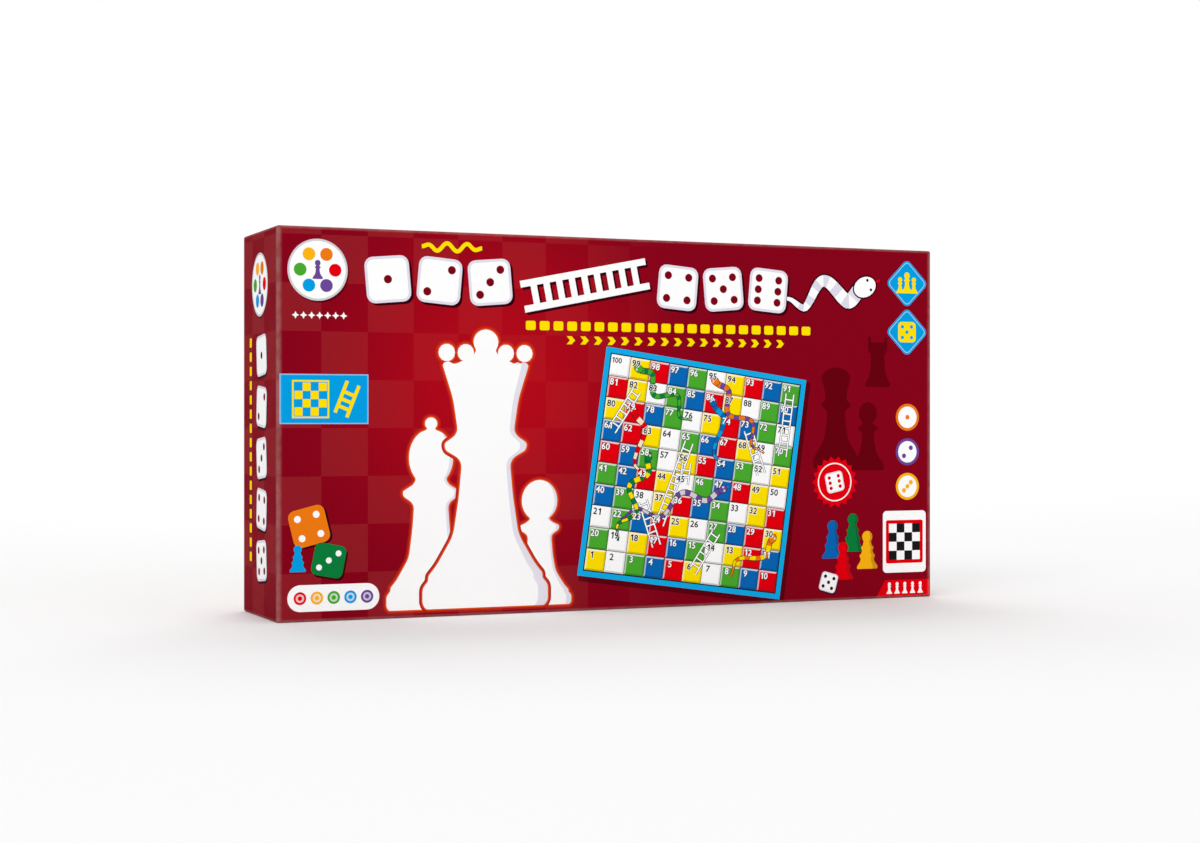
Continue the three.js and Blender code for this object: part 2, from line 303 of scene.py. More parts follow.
@dataclass(frozen=True)
class LaminatedPrint(Print):
    """Offset print under a matt film: even, saturated colour with a faint, soft sheen."""

    low: Spot = (0.0, 0.0, 0.0)
    high: Spot = (0.0, 0.0, 0.0)
    square: float = 17.0
    square_start: float = 1.1
    glow: str = "#c40c19"
    glow_middle: tuple[float, float] = (84.0, 84.0)
    glow_reach: float = 88.0
    glow_strength: float = 0.7
    fade: tuple[float, float] = (92.0, 158.0)
    # A pale tone at the folds: partly a painted highlight, partly print abraded to the paper
    rubbed: str = "#f1e4e0"
    rubbed_strength: float = 0.13
    rubbed_reach: tuple[float, float] = (0.4, 2.1)
    scuff: float = 3.0

    def layers(self, add: Adder, place: Socket, grain: Socket) -> Layers:
        """Lists squares that fade out to the right, a glow, the inks, and a pale painted highlight with
        abrasion at the folds, over the dark ground.

        Args:
            add: adds a node to the material.
            place: the place on the piece.
            grain: the clouds of the film.

        Returns:
            The share that each covers, from 0 to 1, and the colour.
        """
        sheet = add("ShaderNodeUVMap", uv_map=SHEET_MAP)
        scale = 1 / (self.square * MM)
        start = (self.square_start / self.square, 0, 0.5)
        squares = add("ShaderNodeMapping", {"Vector": sheet, "Location": start, "Scale": (scale, scale, 1)})
        tones = {"Color1": linear(self.tone), "Color2": linear(self.cloud), "Scale": 1.0}
        chequer = add("ShaderNodeTexChecker", {"Vector": squares, **tones})
        across = add("ShaderNodeSeparateXYZ", [sheet])
        edges = [edge * MM for edge in self.fade]
        fading = add("ShaderNodeMapRange", [across, *edges, 1.0, 0.0], interpolation_type="SMOOTHSTEP")
        middle = (*(part * MM for part in self.glow_middle), 0)
        away = add("ShaderNodeVectorMath", [sheet, middle], "Value", operation="DISTANCE")
        warmth = [away, 0.0, self.glow_reach * MM, self.glow_strength, 0.0]
        glowing = add("ShaderNodeMapRange", warmth, interpolation_type="SMOOTHSTEP")
        inks = super().layers(add, place, grain)
        # The pale tone at the folds is a painted highlight as well as abrasion
        lit_and_worn = (self.folds(add, place), linear(self.rubbed))
        return [(fading, chequer), (glowing, linear(self.glow)), *inks, lit_and_worn]

    def folds(self, add: Adder, place: Socket) -> Socket:
        """Finds the folds, which get a pale tone: a painted highlight, and print abraded a little pale.

        Args:
            add: adds a node to the material.
            place: the place on the piece.

        Returns:
            The share of pale tone, painted highlight and bare paper together.
        """
        low, high = (tuple(part * MM for part in corner) for corner in (self.low, self.high))
        ways = ((place, low), (high, place))
        insets = [add("ShaderNodeVectorMath", way, operation="SUBTRACT") for way in ways]
        inset = add("ShaderNodeVectorMath", insets, operation="MINIMUM")
        gaps = add("ShaderNodeSeparateXYZ", [inset]).node.outputs
        upright, *others = (
            add("ShaderNodeMath", [gaps[a], gaps[b]], operation="ADD") for a, b in ("XY", "YZ", "XZ")
        )
        nearest = add("ShaderNodeMath", others, operation="MINIMUM")
        # The folds that lie flat get less painted highlight and abrasion than the upright ones
        softened = add("ShaderNodeMath", [nearest, 1.7], operation="MULTIPLY")
        nearest = add("ShaderNodeMath", [upright, softened], operation="MINIMUM")
        # Pale near the folds: a painted highlight and abraded print, broken into patches
        highlight_and_wear = [nearest, *(edge * MM for edge in self.rubbed_reach), self.rubbed_strength, 0.0]
        rubbed = add("ShaderNodeMapRange", highlight_and_wear, interpolation_type="SMOOTHSTEP")
        noise = add("ShaderNodeTexNoise", {"Vector": place, "Scale": 1 / (self.scuff * MM), "Detail": 4.0})
        patchy = add("ShaderNodeMapRange", [noise, 0.35, 0.6, 0.65, 1.1])
        return add("ShaderNodeMath", [rubbed, patchy], operation="MULTIPLY")


# Pressed recycled pulp: a dull grey-brown with short pale and dark fibres, and no gloss
GREYBOARD = Finish(
    "greyboard_pressed_pulp", "#857e73", "#b9b1a3", grain=1.2, gloss=(0.86, 0.95), drawn=(0.3, 1, 1),
    relief=0.08, specular=0.2,
)
# Polypropylene film: nearly clear, a little milky, with fine streaks along its length
HINGE_FILM = Finish(
    "polypropylene_hinge_film", "#e6edf2", "#e6edf2", grain=1.2, gloss=(0.18, 0.42), drawn=(0.04, 1, 1),
    alpha=0.09,
)
# Linen varnish: broken sheen over clean ink, its half-millimetre threads drawn coarser so that they show
BOARD_PRINT = TexturedPrint(
    "linen_varnished_print", "#efe9dd", "#efe9dd", grain=0.9, gloss=(0.5, 0.36), relief=0.033, specular=0.3
)
# Uncoated offset paper: a dull white with a tooth that is drawn coarser than the real one so that it shows
RULE_PAPER = TexturedPrint(
    "folded_offset_paper", "#f4f1ea", "#f4f1ea", grain=0.5, gloss=(0.78, 0.64), relief=0.012, specular=0.3
)
# Vacuum-formed polystyrene sheet: a soft white, clouded where it was drawn thin, with a satin skin
TRAY_SHEET = Finish("formed_polystyrene_sheet", "#f3f2ee", "#eae9e4", grain=9.0, gloss=(0.33, 0.4))
# Pad-printed paint: dense black that is duller than the die
PIP_PAINT = Finish("pip_paint_black", "#151416", "#232226", grain=3.0, gloss=(0.42, 0.5))
# Cast acrylic: a clean white with the sharpest gloss of the set
DIE_ACRYLIC = Finish("moulded_acrylic_white", "#fbfaf6", "#f1f0ea", grain=6.0, gloss=(0.17, 0.24))
# Injection-moulded polystyrene: clean colour, a satin skin and faint clouds drawn out by the mould's flow
MOULDED = {
    colour: Finish(
        f"moulded_polystyrene_{colour}", tone, cloud, grain=6.0, gloss=(0.25, 0.33), drawn=(1, 1, 0.4)
    )
    for colour, tone, cloud in (
        ("dark", "#161618", "#222226"), ("light", "#f1e6cd", "#e6d8b8"), ("red", "#d51c0b", "#c3150a"),
        ("yellow", "#f0b800", "#e3a900"), ("green", "#067a37", "#056c30"), ("blue", "#0458a0", "#034b8c"),
    )
}


def circle(radius: float, steps: int = 24) -> Outline:
    """Returns a round outline about the origin."""
    return radius * np.exp(1j * math.tau * np.arange(steps) / steps)


def rectangle(width: float, height: float, rounding: float = 0.0, steps: int = 4) -> Outline:
    """Draws a rectangle about the origin.

    Args:
        width: its whole width.
        height: its whole height.
        rounding: the radius of its corners.
        steps: the steps round each corner.

    Returns:
        The outline, counter-clockwise from its upper right corner.
    """
    middle = complex(width / 2 - rounding, height / 2 - rounding)
    middles = [middle, -middle.conjugate(), -middle, middle.conjugate()]
    if not rounding:
        return np.array(middles)
    arc = rounding * np.exp(1j * math.pi / 2 * np.arange(steps + 1) / steps)
    return np.concatenate([spot + arc * 1j**turn for turn, spot in enumerate(middles)])


def square(side: float, rounding: float = 0.0) -> Outline:
    """Returns a square about the origin."""
    return rectangle(side, side, rounding)


def star(tips: int, outer: float, inner: float) -> Outline:
    """Returns a star with that many tips about the origin."""
    radii = np.where(np.arange(2 * tips) % 2, inner, outer)
    return radii * np.exp(1j * math.pi * np.arange(2 * tips) / tips)


def ribbon(path: Outline, half_width: float | np.ndarray) -> Outline:
    """Widens a line into a band.

    Args:
        path: the middle line.
        half_width: half the width, one value or one for each point.

    Returns:
        The outline of the band.
    """
    along = np.gradient(path)
    side = 1j * along / np.abs(along) * half_width
    return np.concatenate([path - side, (path + side)[::-1]])


def grow(outline: Outline, by: float) -> Outline:
    """Moves an outline outwards by an even distance.

    Args:
        outline: counter-clockwise round what is filled, clockwise round a hole.
        by: the distance, below 0 to move inwards.

    Returns:
        The moved outline, with as many points.
    """
    back = outline - np.roll(outline, 1)
    ahead = np.roll(outline, -1) - outline
    first, second = (-1j * way / np.maximum(np.abs(way), WELD) for way in (back, ahead))
    sharpness = 1 + (first * second.conj()).real
    return outline + by * (first + second) / np.maximum(sharpness, 0.5)


def bend(start: complex, middle: complex, end: complex, share: np.ndarray) -> np.ndarray:
    """Returns points of a curve from start to end that leans towards middle, at shares of its way."""
    return start * (1 - share) ** 2 + 2 * middle * share * (1 - share) + end * share**2


def winding(start: complex, end: complex, swing: float, waves: float) -> Outline:
    """Draws a line that winds from one point to another and swings less at its ends.

    Args:
        start: the first point.
        end: the last point.
        swing: how far it swings to each side.
        waves: how many times it winds.

    Returns:
        The points of the line.
    """
    share = np.linspace(0, 1, round(26 * waves) + 12)
    sideways = 1j * (end - start) / abs(end - start)
    sway = np.sin(math.tau * waves * share) * np.minimum(np.sin(math.pi * share) * 1.6, 1)
    return start + (end - start) * share + sideways * swing * sway


def area_of(outline: Outline) -> float:
    """Returns the signed area, above 0 for a counter-clockwise outline."""
    following = np.roll(outline, -1)
    return float(np.sum(outline.real * following.imag - following.real * outline.imag) / 2)


def wraps(outline: Outline, points: np.ndarray) -> np.ndarray:
    """Tells which points an outline goes round, also where it crosses itself.

    Args:
        outline: the closed outline.
        points: the points that are asked about.

    Returns:
        A truth value for each point.
    """
    first = outline[:, None] - points[None, :]
    second = np.roll(first, -1, axis=0)
    leftness = first.real * second.imag - second.real * first.imag
    rises = (first.imag <= 0) & (second.imag > 0) & (leftness > 0)
    falls = (first.imag > 0) & (second.imag <= 0) & (leftness < 0)
    return rises.sum(axis=0) != falls.sum(axis=0)


def bulge(across: float, up: float, middle: float, start: float, end: float, steps: int) -> Profile:
    """Draws a round stretch of a turned piece's outline.

    Args:
        across: half its width, as a share of the foot's radius.
        up: half its height, as a share of the piece's height.
        middle: the height of its middle, as a share of the piece's height.
        start: the first angle, in degrees.
        end: the last angle, in degrees.
        steps: the number of steps between them.

    Returns:
        Points of (across, up), as shares.
    """
    angles = np.radians(np.linspace(start, end, steps + 1))
    return [(max(across * math.cos(a), 0.0), middle + up * math.sin(a)) for a in angles]


FOOT: Profile = [(0, 0), (0.95, 0), (1, 0.02), (1, 0.075), (0.91, 0.1), (0.91, 0.118), (0.78, 0.155)]


@dataclass(frozen=True)
class TurnedSize:
    """A turned piece: the width of its foot, its height, and its outline in shares of both."""

    base: float
    height: float
    outline: Profile

    def curve(self, rounding: float, steps: int) -> Outline:
        """Draws the outline with its edges rounded.

        Args:
            rounding: how far the rounding of each edge reaches, at most.
            steps: the steps in each rounding.

        Returns:
            The points of the outline, from the middle of the foot to the top.
        """
        points = [complex(r * self.base / 2, h * self.height) for r, h in self.outline]
        curve = points[:1]
        for before, here, after in zip(points, points[1:], points[2:]):
            ways = (before - here, after - here)
            # Less than half of each stretch, so that no two roundings meet
            reach = min(rounding, *(abs(way) * 0.45 for way in ways))
            start, end = (here + way / abs(way) * reach for way in ways)
            curve.extend(bend(start, here, end, np.arange(steps + 1) / steps))
        return np.array(curve + points[-1:])

    def mesh(self, rounding: float = 0.7) -> Mesh:
        """Turns the piece about the upright axis.

        Args:
            rounding: how far the rounding of each edge reaches, at most.

        Returns:
            The closed mesh, with its foot at the origin.
        """
        turns = circle(1, TURNED_SIDES)
        outline = self.curve(rounding, TURNED_STEPS)
        faces = FaceList()
        faces.skin([[(t.real * p.real, t.imag * p.real, p.imag) for t in turns] for p in outline])
        return faces.mesh("turned")

    def silhouette(self, height: float, shade: float = 0.0) -> Outline:
        """Draws the piece from the side, at another height.

        Args:
            height: the height.
            shade: the inner edge of its shaded strip as a share of its width, or 0 for the whole piece.

        Returns:
            The outline of the piece, or of the strip that lies in shade on its right.
        """
        # A taller figure shows more of its curves
        right = self.curve(rounding=1.2, steps=1 + int(height / 12)) * height / self.height
        if shade:
            # Thin stretches such as the top have no strip of shade
            right = right[right.real > 0.3 * right.real.max()]
        left = right.real * (shade or -1) + 1j * right.imag
        return np.concatenate([right, left[::-1]])


class Kind(Enum):
    """Kinds of small piece that are turned."""

    PAWN = TurnedSize(
        14.8, 27,
        FOOT + [(0.5, 0.27), (0.41, 0.4), (0.36, 0.56), (0.6, 0.6), (0.62, 0.635), (0.4, 0.662)]
        + bulge(0.56, 0.165, 0.835, -60, 90, 10),
    )
    ROOK = TurnedSize(
        17, 29.5,
        FOOT + [(0.62, 0.28), (0.56, 0.42), (0.53, 0.64), (0.72, 0.7), (0.77, 0.74), (0.77, 1), (0.54, 1),
                (0.54, 0.88), (0, 0.88)],
    )
    KNIGHT = TurnedSize(17, 33, FOOT + [(0.66, 0.2), (0.63, 0.26), (0.63, 0.32), (0, 0.32)])
    BISHOP = TurnedSize(
        17, 35,
        FOOT + [(0.5, 0.27), (0.42, 0.42), (0.38, 0.55), (0.62, 0.59), (0.64, 0.615), (0.4, 0.65)]
        + bulge(0.5, 0.15, 0.79, -48, 62, 9) + [(0.1, 0.935)] + bulge(0.14, 0.032, 0.968, -50, 90, 6),
    )
    QUEEN = TurnedSize(
        18.5, 38.5,
        FOOT + [(0.52, 0.26), (0.43, 0.4), (0.38, 0.53), (0.64, 0.565), (0.66, 0.59), (0.44, 0.625),
                (0.52, 0.75), (0.69, 0.875), (0.6, 0.885), (0.5, 0.872), (0.2, 0.905)]
        + bulge(0.2, 0.046, 0.954, -40, 90, 6),
    )
    KING = TurnedSize(
        18.5, 41.5,
        FOOT + [(0.52, 0.25), (0.43, 0.38), (0.38, 0.49), (0.64, 0.525), (0.66, 0.55), (0.44, 0.585),
                (0.52, 0.68), (0.65, 0.78), (0.58, 0.8), (0.46, 0.832), (0.2, 0.855), (0, 0.86)],
    )
    COUNTER = TurnedSize(
        15, 24,
        FOOT + [(0.66, 0.22), (0.64, 0.28), (0.74, 0.32), (0.74, 0.365), (0.55, 0.42), (0.5, 0.5),
                (0.6, 0.54), (0.6, 0.575), (0.42, 0.62), (0.4, 0.68)]
        + bulge(0.5, 0.155, 0.845, -50, 90, 10),
    )


def pip_places(count: int) -> list[complex]:
    """Returns where the pips of a die's face lie, each from -1 to 1 across and up."""
    pairs = (-1 - 1j, -1 + 1j, -1 + 0j)[:count // 2]
    return [0j] * (count % 2) + [spot * way for spot in pairs for way in (1, -1)]


@dataclass
class Artwork:
    """The flat print of one panel: its edges, and shapes in the order in which they cover each other."""

    left: float
    bottom: float
    right: float
    top: float
    shapes: list[tuple[list[Outline], Colour]] = field(default_factory=list)

    def corners(self) -> list[complex]:
        """Returns the panel's corners, counter-clockwise from the upper right one."""
        middle = complex(self.left + self.right, self.bottom + self.top) / 2
        return list(middle + rectangle(self.right - self.left, self.top - self.bottom))

    def clip(self, outline: Outline) -> list[complex]:
        """Cuts an outline to the panel, a hair inside its edges.

        Args:
            outline: the outline, in the panel's millimetres.

        Returns:
            The points of the outline that is left, which may be none.
        """
        points = list(outline)
        for way, limit in ((1, self.left), (-1, -self.right), (-1j, self.bottom), (1j, -self.top)):
            kept: list[complex] = []
            for here, after in zip(points, points[1:] + points[:1]):
                now, then = ((p * way).real - limit - PRINT_EDGE for p in (here, after))
                if now >= 0:
                    kept.append(here)
                if (now < 0) != (then < 0):
                    kept.append(here + (after - here) * now / (now - then))
            points = kept
        return points

    def triangles(self) -> Iterator[tuple[list[complex], Colour]]:
        """Cuts the panel into triangles of one ink each.

        Yields:
            The three corners, counter-clockwise, and the colour, where an alpha of 0 is the bare ground.
        """
        points = self.corners()
        edges = []
        for outlines, _ in self.shapes:
            for outline in outlines:
                kept = self.clip(outline)
                numbers = list(range(len(points), len(points) + len(kept)))
                edges += zip(numbers, numbers[1:] + numbers[:1])
                points += kept
        flat = [Vector((p.real, p.imag)) for p in points]
        places, _, triangles, *_ = delaunay_2d_cdt(flat, edges, [[0, 1, 2, 3]], 1, WELD, False)
        spots = np.array([complex(*place) for place in places])[np.array(triangles)]
        for corners, layer in zip(spots, self.top_layers(spots.mean(axis=1))):
            turned = corners if area_of(corners) > 0 else corners[::-1]
            yield list(turned), BARE if layer < 0 else self.shapes[layer][1]

    def top_layers(self, points: np.ndarray) -> np.ndarray:
        """Finds the shape that lies on top at each point.

        Args:
            points: the points.

        Returns:
            The number of the shape, or -1 where the ground is bare.
        """
        layers = np.full(len(points), -1)
        for number, (outlines, _) in enumerate(self.shapes):
            whole = np.concatenate(outlines)
            near = np.flatnonzero(
                (points.real > whole.real.min()) & (points.real < whole.real.max())
                & (points.imag > whole.imag.min()) & (points.imag < whole.imag.max())
            )
            times = sum(wraps(outline, points[near]).astype(int) for outline in outlines)
            layers[near[times % 2 == 1]] = number
        return layers


@dataclass(frozen=True)
class Pen:
    """Draws on an artwork from a place of its own, turned and scaled."""

    art: Artwork
    origin: complex = 0j
    spin: complex = 1 + 0j

    def at(self, place: complex, turn: float = 0.0, scale: float = 1.0) -> "Pen":
        """Returns a pen that draws from another place, turned by degrees and scaled."""
        spin = self.spin * cmath.rect(scale, math.radians(turn))
        return Pen(self.art, self.origin + self.spin * place, spin)

    def fill(self, colour: Ink | Colour, *outlines: Outline) -> None:
        """Fills outlines together, so that one inside another leaves a hole."""
        tone = colour.tone() if isinstance(colour, Ink) else colour
        self.art.shapes.append(([self.origin + self.spin * o for o in outlines], tone))

    def row(self, count: int, step: complex, colour: Ink, shape: Outline) -> None:
        """Fills a row of equal shapes, each a step further on."""
        for i in range(count):
            self.fill(colour, shape + i * step)

    def chequers(self, count: int, size: float, colour: Ink) -> None:
        """Fills the dark squares of a chequered field about the pen's place.

        Args:
            count: the squares along each side.
            size: the width of a square.
            colour: the ink.
        """
        corner = (count - 1) / 2 * (1 + 1j)
        for row in range(count):
            for column in range(row % 2, count, 2):
                self.fill(colour, square(size) + (complex(column, row) - corner) * size)

    def die(self, side: float, count: int, face: Ink, pip: Ink, drop: float = 0.0) -> None:
        """Draws the face of a die.

        Args:
            side: the width of the face.
            count: the number of pips.
            face: the face's ink.
            pip: the ink of the pips.
            drop: how far its shadow falls, 0 for none.
        """
        shape = square(side, side * 0.19)
        if drop:
            self.at(drop * (1 - 1j)).fill(Ink.SHADOW, shape)
        self.fill(face, shape)
        if face is Ink.WHITE:
            self.fill(face.tone(Ink.LILAC, 0.9), shape, grow(shape, -side * 0.06))
        for place in pip_places(count):
            self.at(place * side * 0.26).fill(pip, circle(side * 0.093, 14))

    def figure(self, kind: Kind, height: float, colour: Ink | Colour, halo: float = 0.0) -> None:
        """Draws a piece from the side, standing at the pen's place.

        Args:
            kind: which piece.
            height: its height.
            colour: its ink.
            halo: the width of the bright edge round it, 0 for none.
        """
        parts = [kind.value.silhouette(height)]
        if kind is Kind.QUEEN:
            reach = kind.value.base / 2 / kind.value.height * height
            spots = (complex(reach * across, height * 0.915) for across in (-0.62, -0.32, 0.32, 0.62))
            parts += [circle(reach * 0.13, 14) + spot for spot in spots]
        if halo:
            for part in parts:
                self.fill(Ink.FLAME.tone(cover=0.4), grow(part, halo))
                self.fill(Ink.FLAME.tone(Ink.AMBER, 0.12), grow(part, halo * 0.4))
        for part in parts:
            self.fill(colour, part)
        if halo:
            self.fill(Ink.WHITE.tone(Ink.LILAC, 0.8), kind.value.silhouette(height, 0.84))

    def snake(self, path: Outline, width: float, skins: tuple[Ink, Ink, Ink]) -> None:
        """Draws a banded snake.

        Args:
            path: the line that it lies along, from its head.
            width: the width of its body.
            skins: the two inks of its bands and the ink of its edge.
        """
        thickness = width / 2 * (1 - 0.78 * np.linspace(0, 1, len(path)) ** 1.6)
        self.fill(skins[2], ribbon(path, thickness + width * 0.11))
        self.fill(skins[0], ribbon(path, thickness))
        for start in range(4, len(path) - 6, 6):
            band = slice(start, start + 4)
            self.fill(skins[1], ribbon(path[band], thickness[band] * 0.98))
        front = self.at(path[0], math.degrees(cmath.phase(path[0] - path[2])), width)
        front.fill(Ink.RED, ribbon(np.array([0.6 + 0j, 1.45]), 0.07))
        skull = circle(1, 22)
        skull = skull.real * 0.86 + 1j * skull.imag * 0.66 + 0.2
        front.fill(skins[2], grow(skull, 0.1))
        front.fill(skins[0], skull)
        for side in (-0.34j, 0.34j):
            front.fill(Ink.WHITE, circle(0.2, 14) + 0.5 + side)
            front.fill(Ink.BLACK, circle(0.1, 10) + 0.56 + side)

    def ladder(self, foot: complex, top: complex, width: float, colour: Ink, edge: Ink, gap: float) -> None:
        """Draws a ladder.

        Args:
            foot: the middle of its lower end.
            top: the middle of its upper end.
            width: its width over the rails.
            colour: the ink of its wood.
            edge: the ink of its edges.
            gap: the distance between rungs.
        """
        along = (top - foot) / abs(top - foot)
        side = 1j * along * width / 2
        rungs = max(round(abs(top - foot) / gap) - 1, 1)
        bars = [(foot + s, top + s) for s in (side, -side)]
        bars += [(foot + along * gap * i - side, foot + along * gap * i + side) for i in range(1, rungs + 1)]
        for ink, half in ((edge, width * 0.135), (colour, width * 0.08)):
            for bar in bars:
                self.fill(ink, ribbon(np.array(bar), half))


class Numerals:
    """Outlines of the plain digits, one unit high, from Blender's own font."""

    PITCH = 0.74

    def __init__(self) -> None:
        """Reads the ten digits."""
        curve = bpy.data.curves.new("numerals", "FONT")
        curve.resolution_u = 3
        curve.fill_mode = "NONE"
        holder = working_object(curve)
        self.digits = {digit: self.read(holder, digit) for digit in "0123456789"}
        bpy.data.objects.remove(holder)
        # The font's own figure is a bare bar, so it gets the flag that a printed one has
        flag = [0.05 - 0.5j, 0.21 - 0.5j, 0.21 + 0.5j, 0.08 + 0.5j, -0.18 + 0.3j, -0.1 + 0.17j, 0.05 + 0.26j]
        self.digits["1"] = [np.array(flag)]

    def read(self, holder: bpy.types.Object, digit: str) -> list[Outline]:
        """Reads the outlines of one digit.

        Args:
            holder: the text object that shows it.
            digit: the digit.

        Returns:
            Outlines about the origin, counter-clockwise, and clockwise round holes.
        """
        holder.data.body = digit
        mesh = applied_mesh(holder)
        points = np.array([complex(v.co.x, v.co.y) for v in mesh.vertices])
        # Each outline's points follow each other, and the edge that closes it joins its last to its first
        ends = [sorted(edge.vertices) for edge in mesh.edges if abs(edge.vertices[0] - edge.vertices[1]) > 1]
        across, up = points.real, points.imag
        points -= complex(across.min() + across.max(), up.min() + up.max()) / 2
        return [points[first:last + 1] / np.ptp(up) for first, last in ends]

    def draw(self, pen: Pen, number: int, height: float, colour: Ink, edge: Ink) -> None:
        """Draws a number about the pen's place, with an edge round each figure.

        Args:
            pen: the pen.
            number: the number.
            height: the height of its figures.
            colour: the ink of the figures.
            edge: the ink round them.
        """
        figures = str(number)
        for ink, extra in ((edge, 0.105), (colour, 0.03)):
            for i, digit in enumerate(figures):
                across = (i - (len(figures) - 1) / 2) * self.PITCH * height
                grown = [(o, grow(o, extra)) for o in self.digits[digit]]
                kept = [wide for o, wide in grown if area_of(o) * area_of(wide) > 0]
                pen.at(across + 0j, scale=height).fill(ink, *kept)


@dataclass
class LadderGame:
    """The numbered track of snakes and ladders, drawn square."""

    side: float = 254.0
    border: float = 7.0
    cells: int = 10
    # Shares of a cell's width
    ladder_width: float = 0.42
    rung_gap: float = 0.34
    snake_width: float = 0.26
    snake_swing: float = 0.4
    wave_length: float = 2.4
    figure_height: float = 0.29
    last_figure_height: float = 0.24
    figure_place: complex = -0.2 + 0.24j
    inks: tuple[Ink, ...] = (Ink.YELLOW, Ink.BLUE, Ink.WHITE, Ink.RED, Ink.GREEN)
    ladders: Ways = ((6, 27), (17, 38), (24, 65), (45, 56), (52, 73), (61, 82), (70, 91))
    snakes: Ways = ((30, 8), (47, 22), (58, 19), (79, 43), (86, 54), (95, 69), (99, 76))
    skins: tuple[tuple[Ink, Ink], ...] = (
        (Ink.ORANGE, Ink.YELLOW), (Ink.VIOLET, Ink.MIST), (Ink.LEAF, Ink.YELLOW), (Ink.RED, Ink.CREAM),
        (Ink.BLUE, Ink.SKY), (Ink.ORANGE, Ink.VIOLET), (Ink.GREEN, Ink.LEAF),
    )
    numerals: Numerals = field(default_factory=Numerals)

    def cell(self) -> float:
        """Returns the width of a cell."""
        return (self.side - 2 * self.border) / self.cells

    def middle(self, number: int) -> complex:
        """Finds a numbered cell: the track winds up row by row.

        Args:
            number: the number of the cell.

        Returns:
            The middle of the cell.
        """
        row, step = divmod(number - 1, self.cells)
        column = self.cells - 1 - step if row % 2 else step
        return self.border * (1 + 1j) + complex(column + 0.5, row + 0.5) * self.cell()

    def ink(self, number: int) -> Ink:
        """Returns the ink of a numbered cell."""
        row, step = divmod(number - 1, self.cells)
        return self.inks[(step * 2 + row) % len(self.inks)]

    def draw(self, pen: Pen) -> None:
        """Draws the whole board.

        Args:
            pen: the pen, at the board's lower left corner.
        """
        cell, numbers = self.cell(), range(1, self.cells**2 + 1)
        whole = pen.at(self.side / 2 * (1 + 1j))
        whole.fill(Ink.BORDER, square(self.side))
        whole.fill(Ink.BLACK, square(self.side - 1.7 * self.border))
        for number in numbers:
            self.draw_cell(pen.at(self.middle(number), scale=cell / 2), self.ink(number))
        width, gap = cell * self.ladder_width, cell * self.rung_gap
        for foot, top in self.ladders:
            pen.ladder(self.middle(foot), self.middle(top), width, Ink.WHITE, Ink.BLACK, gap)
        for (head, tail), skins in zip(self.snakes, self.skins):
            start, end = self.middle(head), self.middle(tail)
            waves = max(1.0, round(abs(start - end) / cell / self.wave_length))
            path = winding(start, end, cell * self.snake_swing, waves)
            pen.snake(path, cell * self.snake_width, (*skins, Ink.BLACK))
        for number in numbers:
            size = cell * (self.figure_height if number < numbers[-1] else self.last_figure_height)
            pale = self.ink(number) in (Ink.WHITE, Ink.YELLOW)
            inks = (Ink.BLACK, Ink.WHITE) if pale else (Ink.WHITE, Ink.BLACK)
            self.numerals.draw(pen.at(self.middle(number) + cell * self.figure_place), number, size, *inks)

    def draw_cell(self, tile: Pen, ink: Ink) -> None:
        """Draws one cell as a raised tile, lit from its upper left.

        Args:
            tile: the pen, at the cell's middle, with half the cell as its unit.
            ink: the ink of the cell.
        """
        corners = np.array([-1 - 1j, 1 - 1j, 1 + 1j, -1 + 1j]) * 0.975
        inner = corners * 0.84
        shades = ((Ink.BLACK, 0.38), (Ink.BLACK, 0.22), (Ink.WHITE, 0.6), (Ink.WHITE, 0.42))
        for i, shade in enumerate(shades):
            after = (i + 1) % 4
            tile.fill(ink.tone(*shade), np.array([corners[i], corners[after], inner[after], inner[i]]))
        tile.fill(ink, inner)


@dataclass
class ChessField:
    """The chess board on the other side: eight by eight squares in a dark border with two fine lines."""

    side: float = 254.0
    border: float = 15.0
    squares: int = 8

    def draw(self, pen: Pen) -> None:
        """Draws the whole board.

        Args:
            pen: the pen, at the board's lower left corner.
        """
        middle = pen.at(self.side / 2 * (1 + 1j))
        inside = self.side - 2 * self.border
        middle.fill(Ink.UMBER, square(self.side))
        for gap in (1.0, 0.6):
            edge = inside + self.border * gap
            middle.fill(Ink.AMBER.tone(Ink.CREAM, 0.4), square(edge), square(edge - 2))
        middle.fill(Ink.CREAM, square(inside))
        middle.chequers(self.squares, inside / self.squares, Ink.WINE)


@dataclass
class BackArt:
    """The print on the base of the box: both games and their pieces on a pale card, and plain sides.

    It is laid out in millimetres on panels of its own size, and the box scales it to its panels.
    """

    length: float = 262.4
    depth: float = 47.65
    height: float = 133.4

    def front(self, pen: Pen) -> None:
        """Draws the large panel.

        Args:
            pen: the pen, at the panel's lower left corner.
        """
        card = rectangle(self.length - 22, self.height - 20, 5)
        pen.at(complex(self.length, self.height) / 2).fill(Ink.CREAM, card)
        side = 84.0
        low = (self.height - side) / 2 + 7
        for left, game in ((24.0, LadderGame()), (118.0, ChessField())):
            game.draw(pen.at(complex(left, low), scale=side / game.side))
        for i, kind in enumerate((Kind.KING, Kind.QUEEN, Kind.BISHOP, Kind.ROOK, Kind.PAWN)):
            spot = complex(217 + i % 2 * 21, 90 - i // 2 * 35)
            pen.at(spot).figure(kind, kind.value.height * 0.68, Ink.WINE)
        for i, ink in enumerate((Ink.RED, Ink.AMBER, Ink.LEAF, Ink.BLUE)):
            pen.at(30 + 14.5j + i * 11).figure(Kind.COUNTER, 12.5, ink)
        for i in range(6):
            pen.at(82 + 20.4j + i * 12.5).die(9.4, i + 1, Ink.WHITE, Ink.WINE, 0.6)
        pen.at(238 + 29.4j, 9).die(15.5, 5, Ink.WHITE, Ink.WINE, 0.8)

    def end(self, pen: Pen, toward: int) -> None:
        """Leaves an end panel bare."""

    def strip(self, pen: Pen) -> None:
        """Leaves a long side bare."""


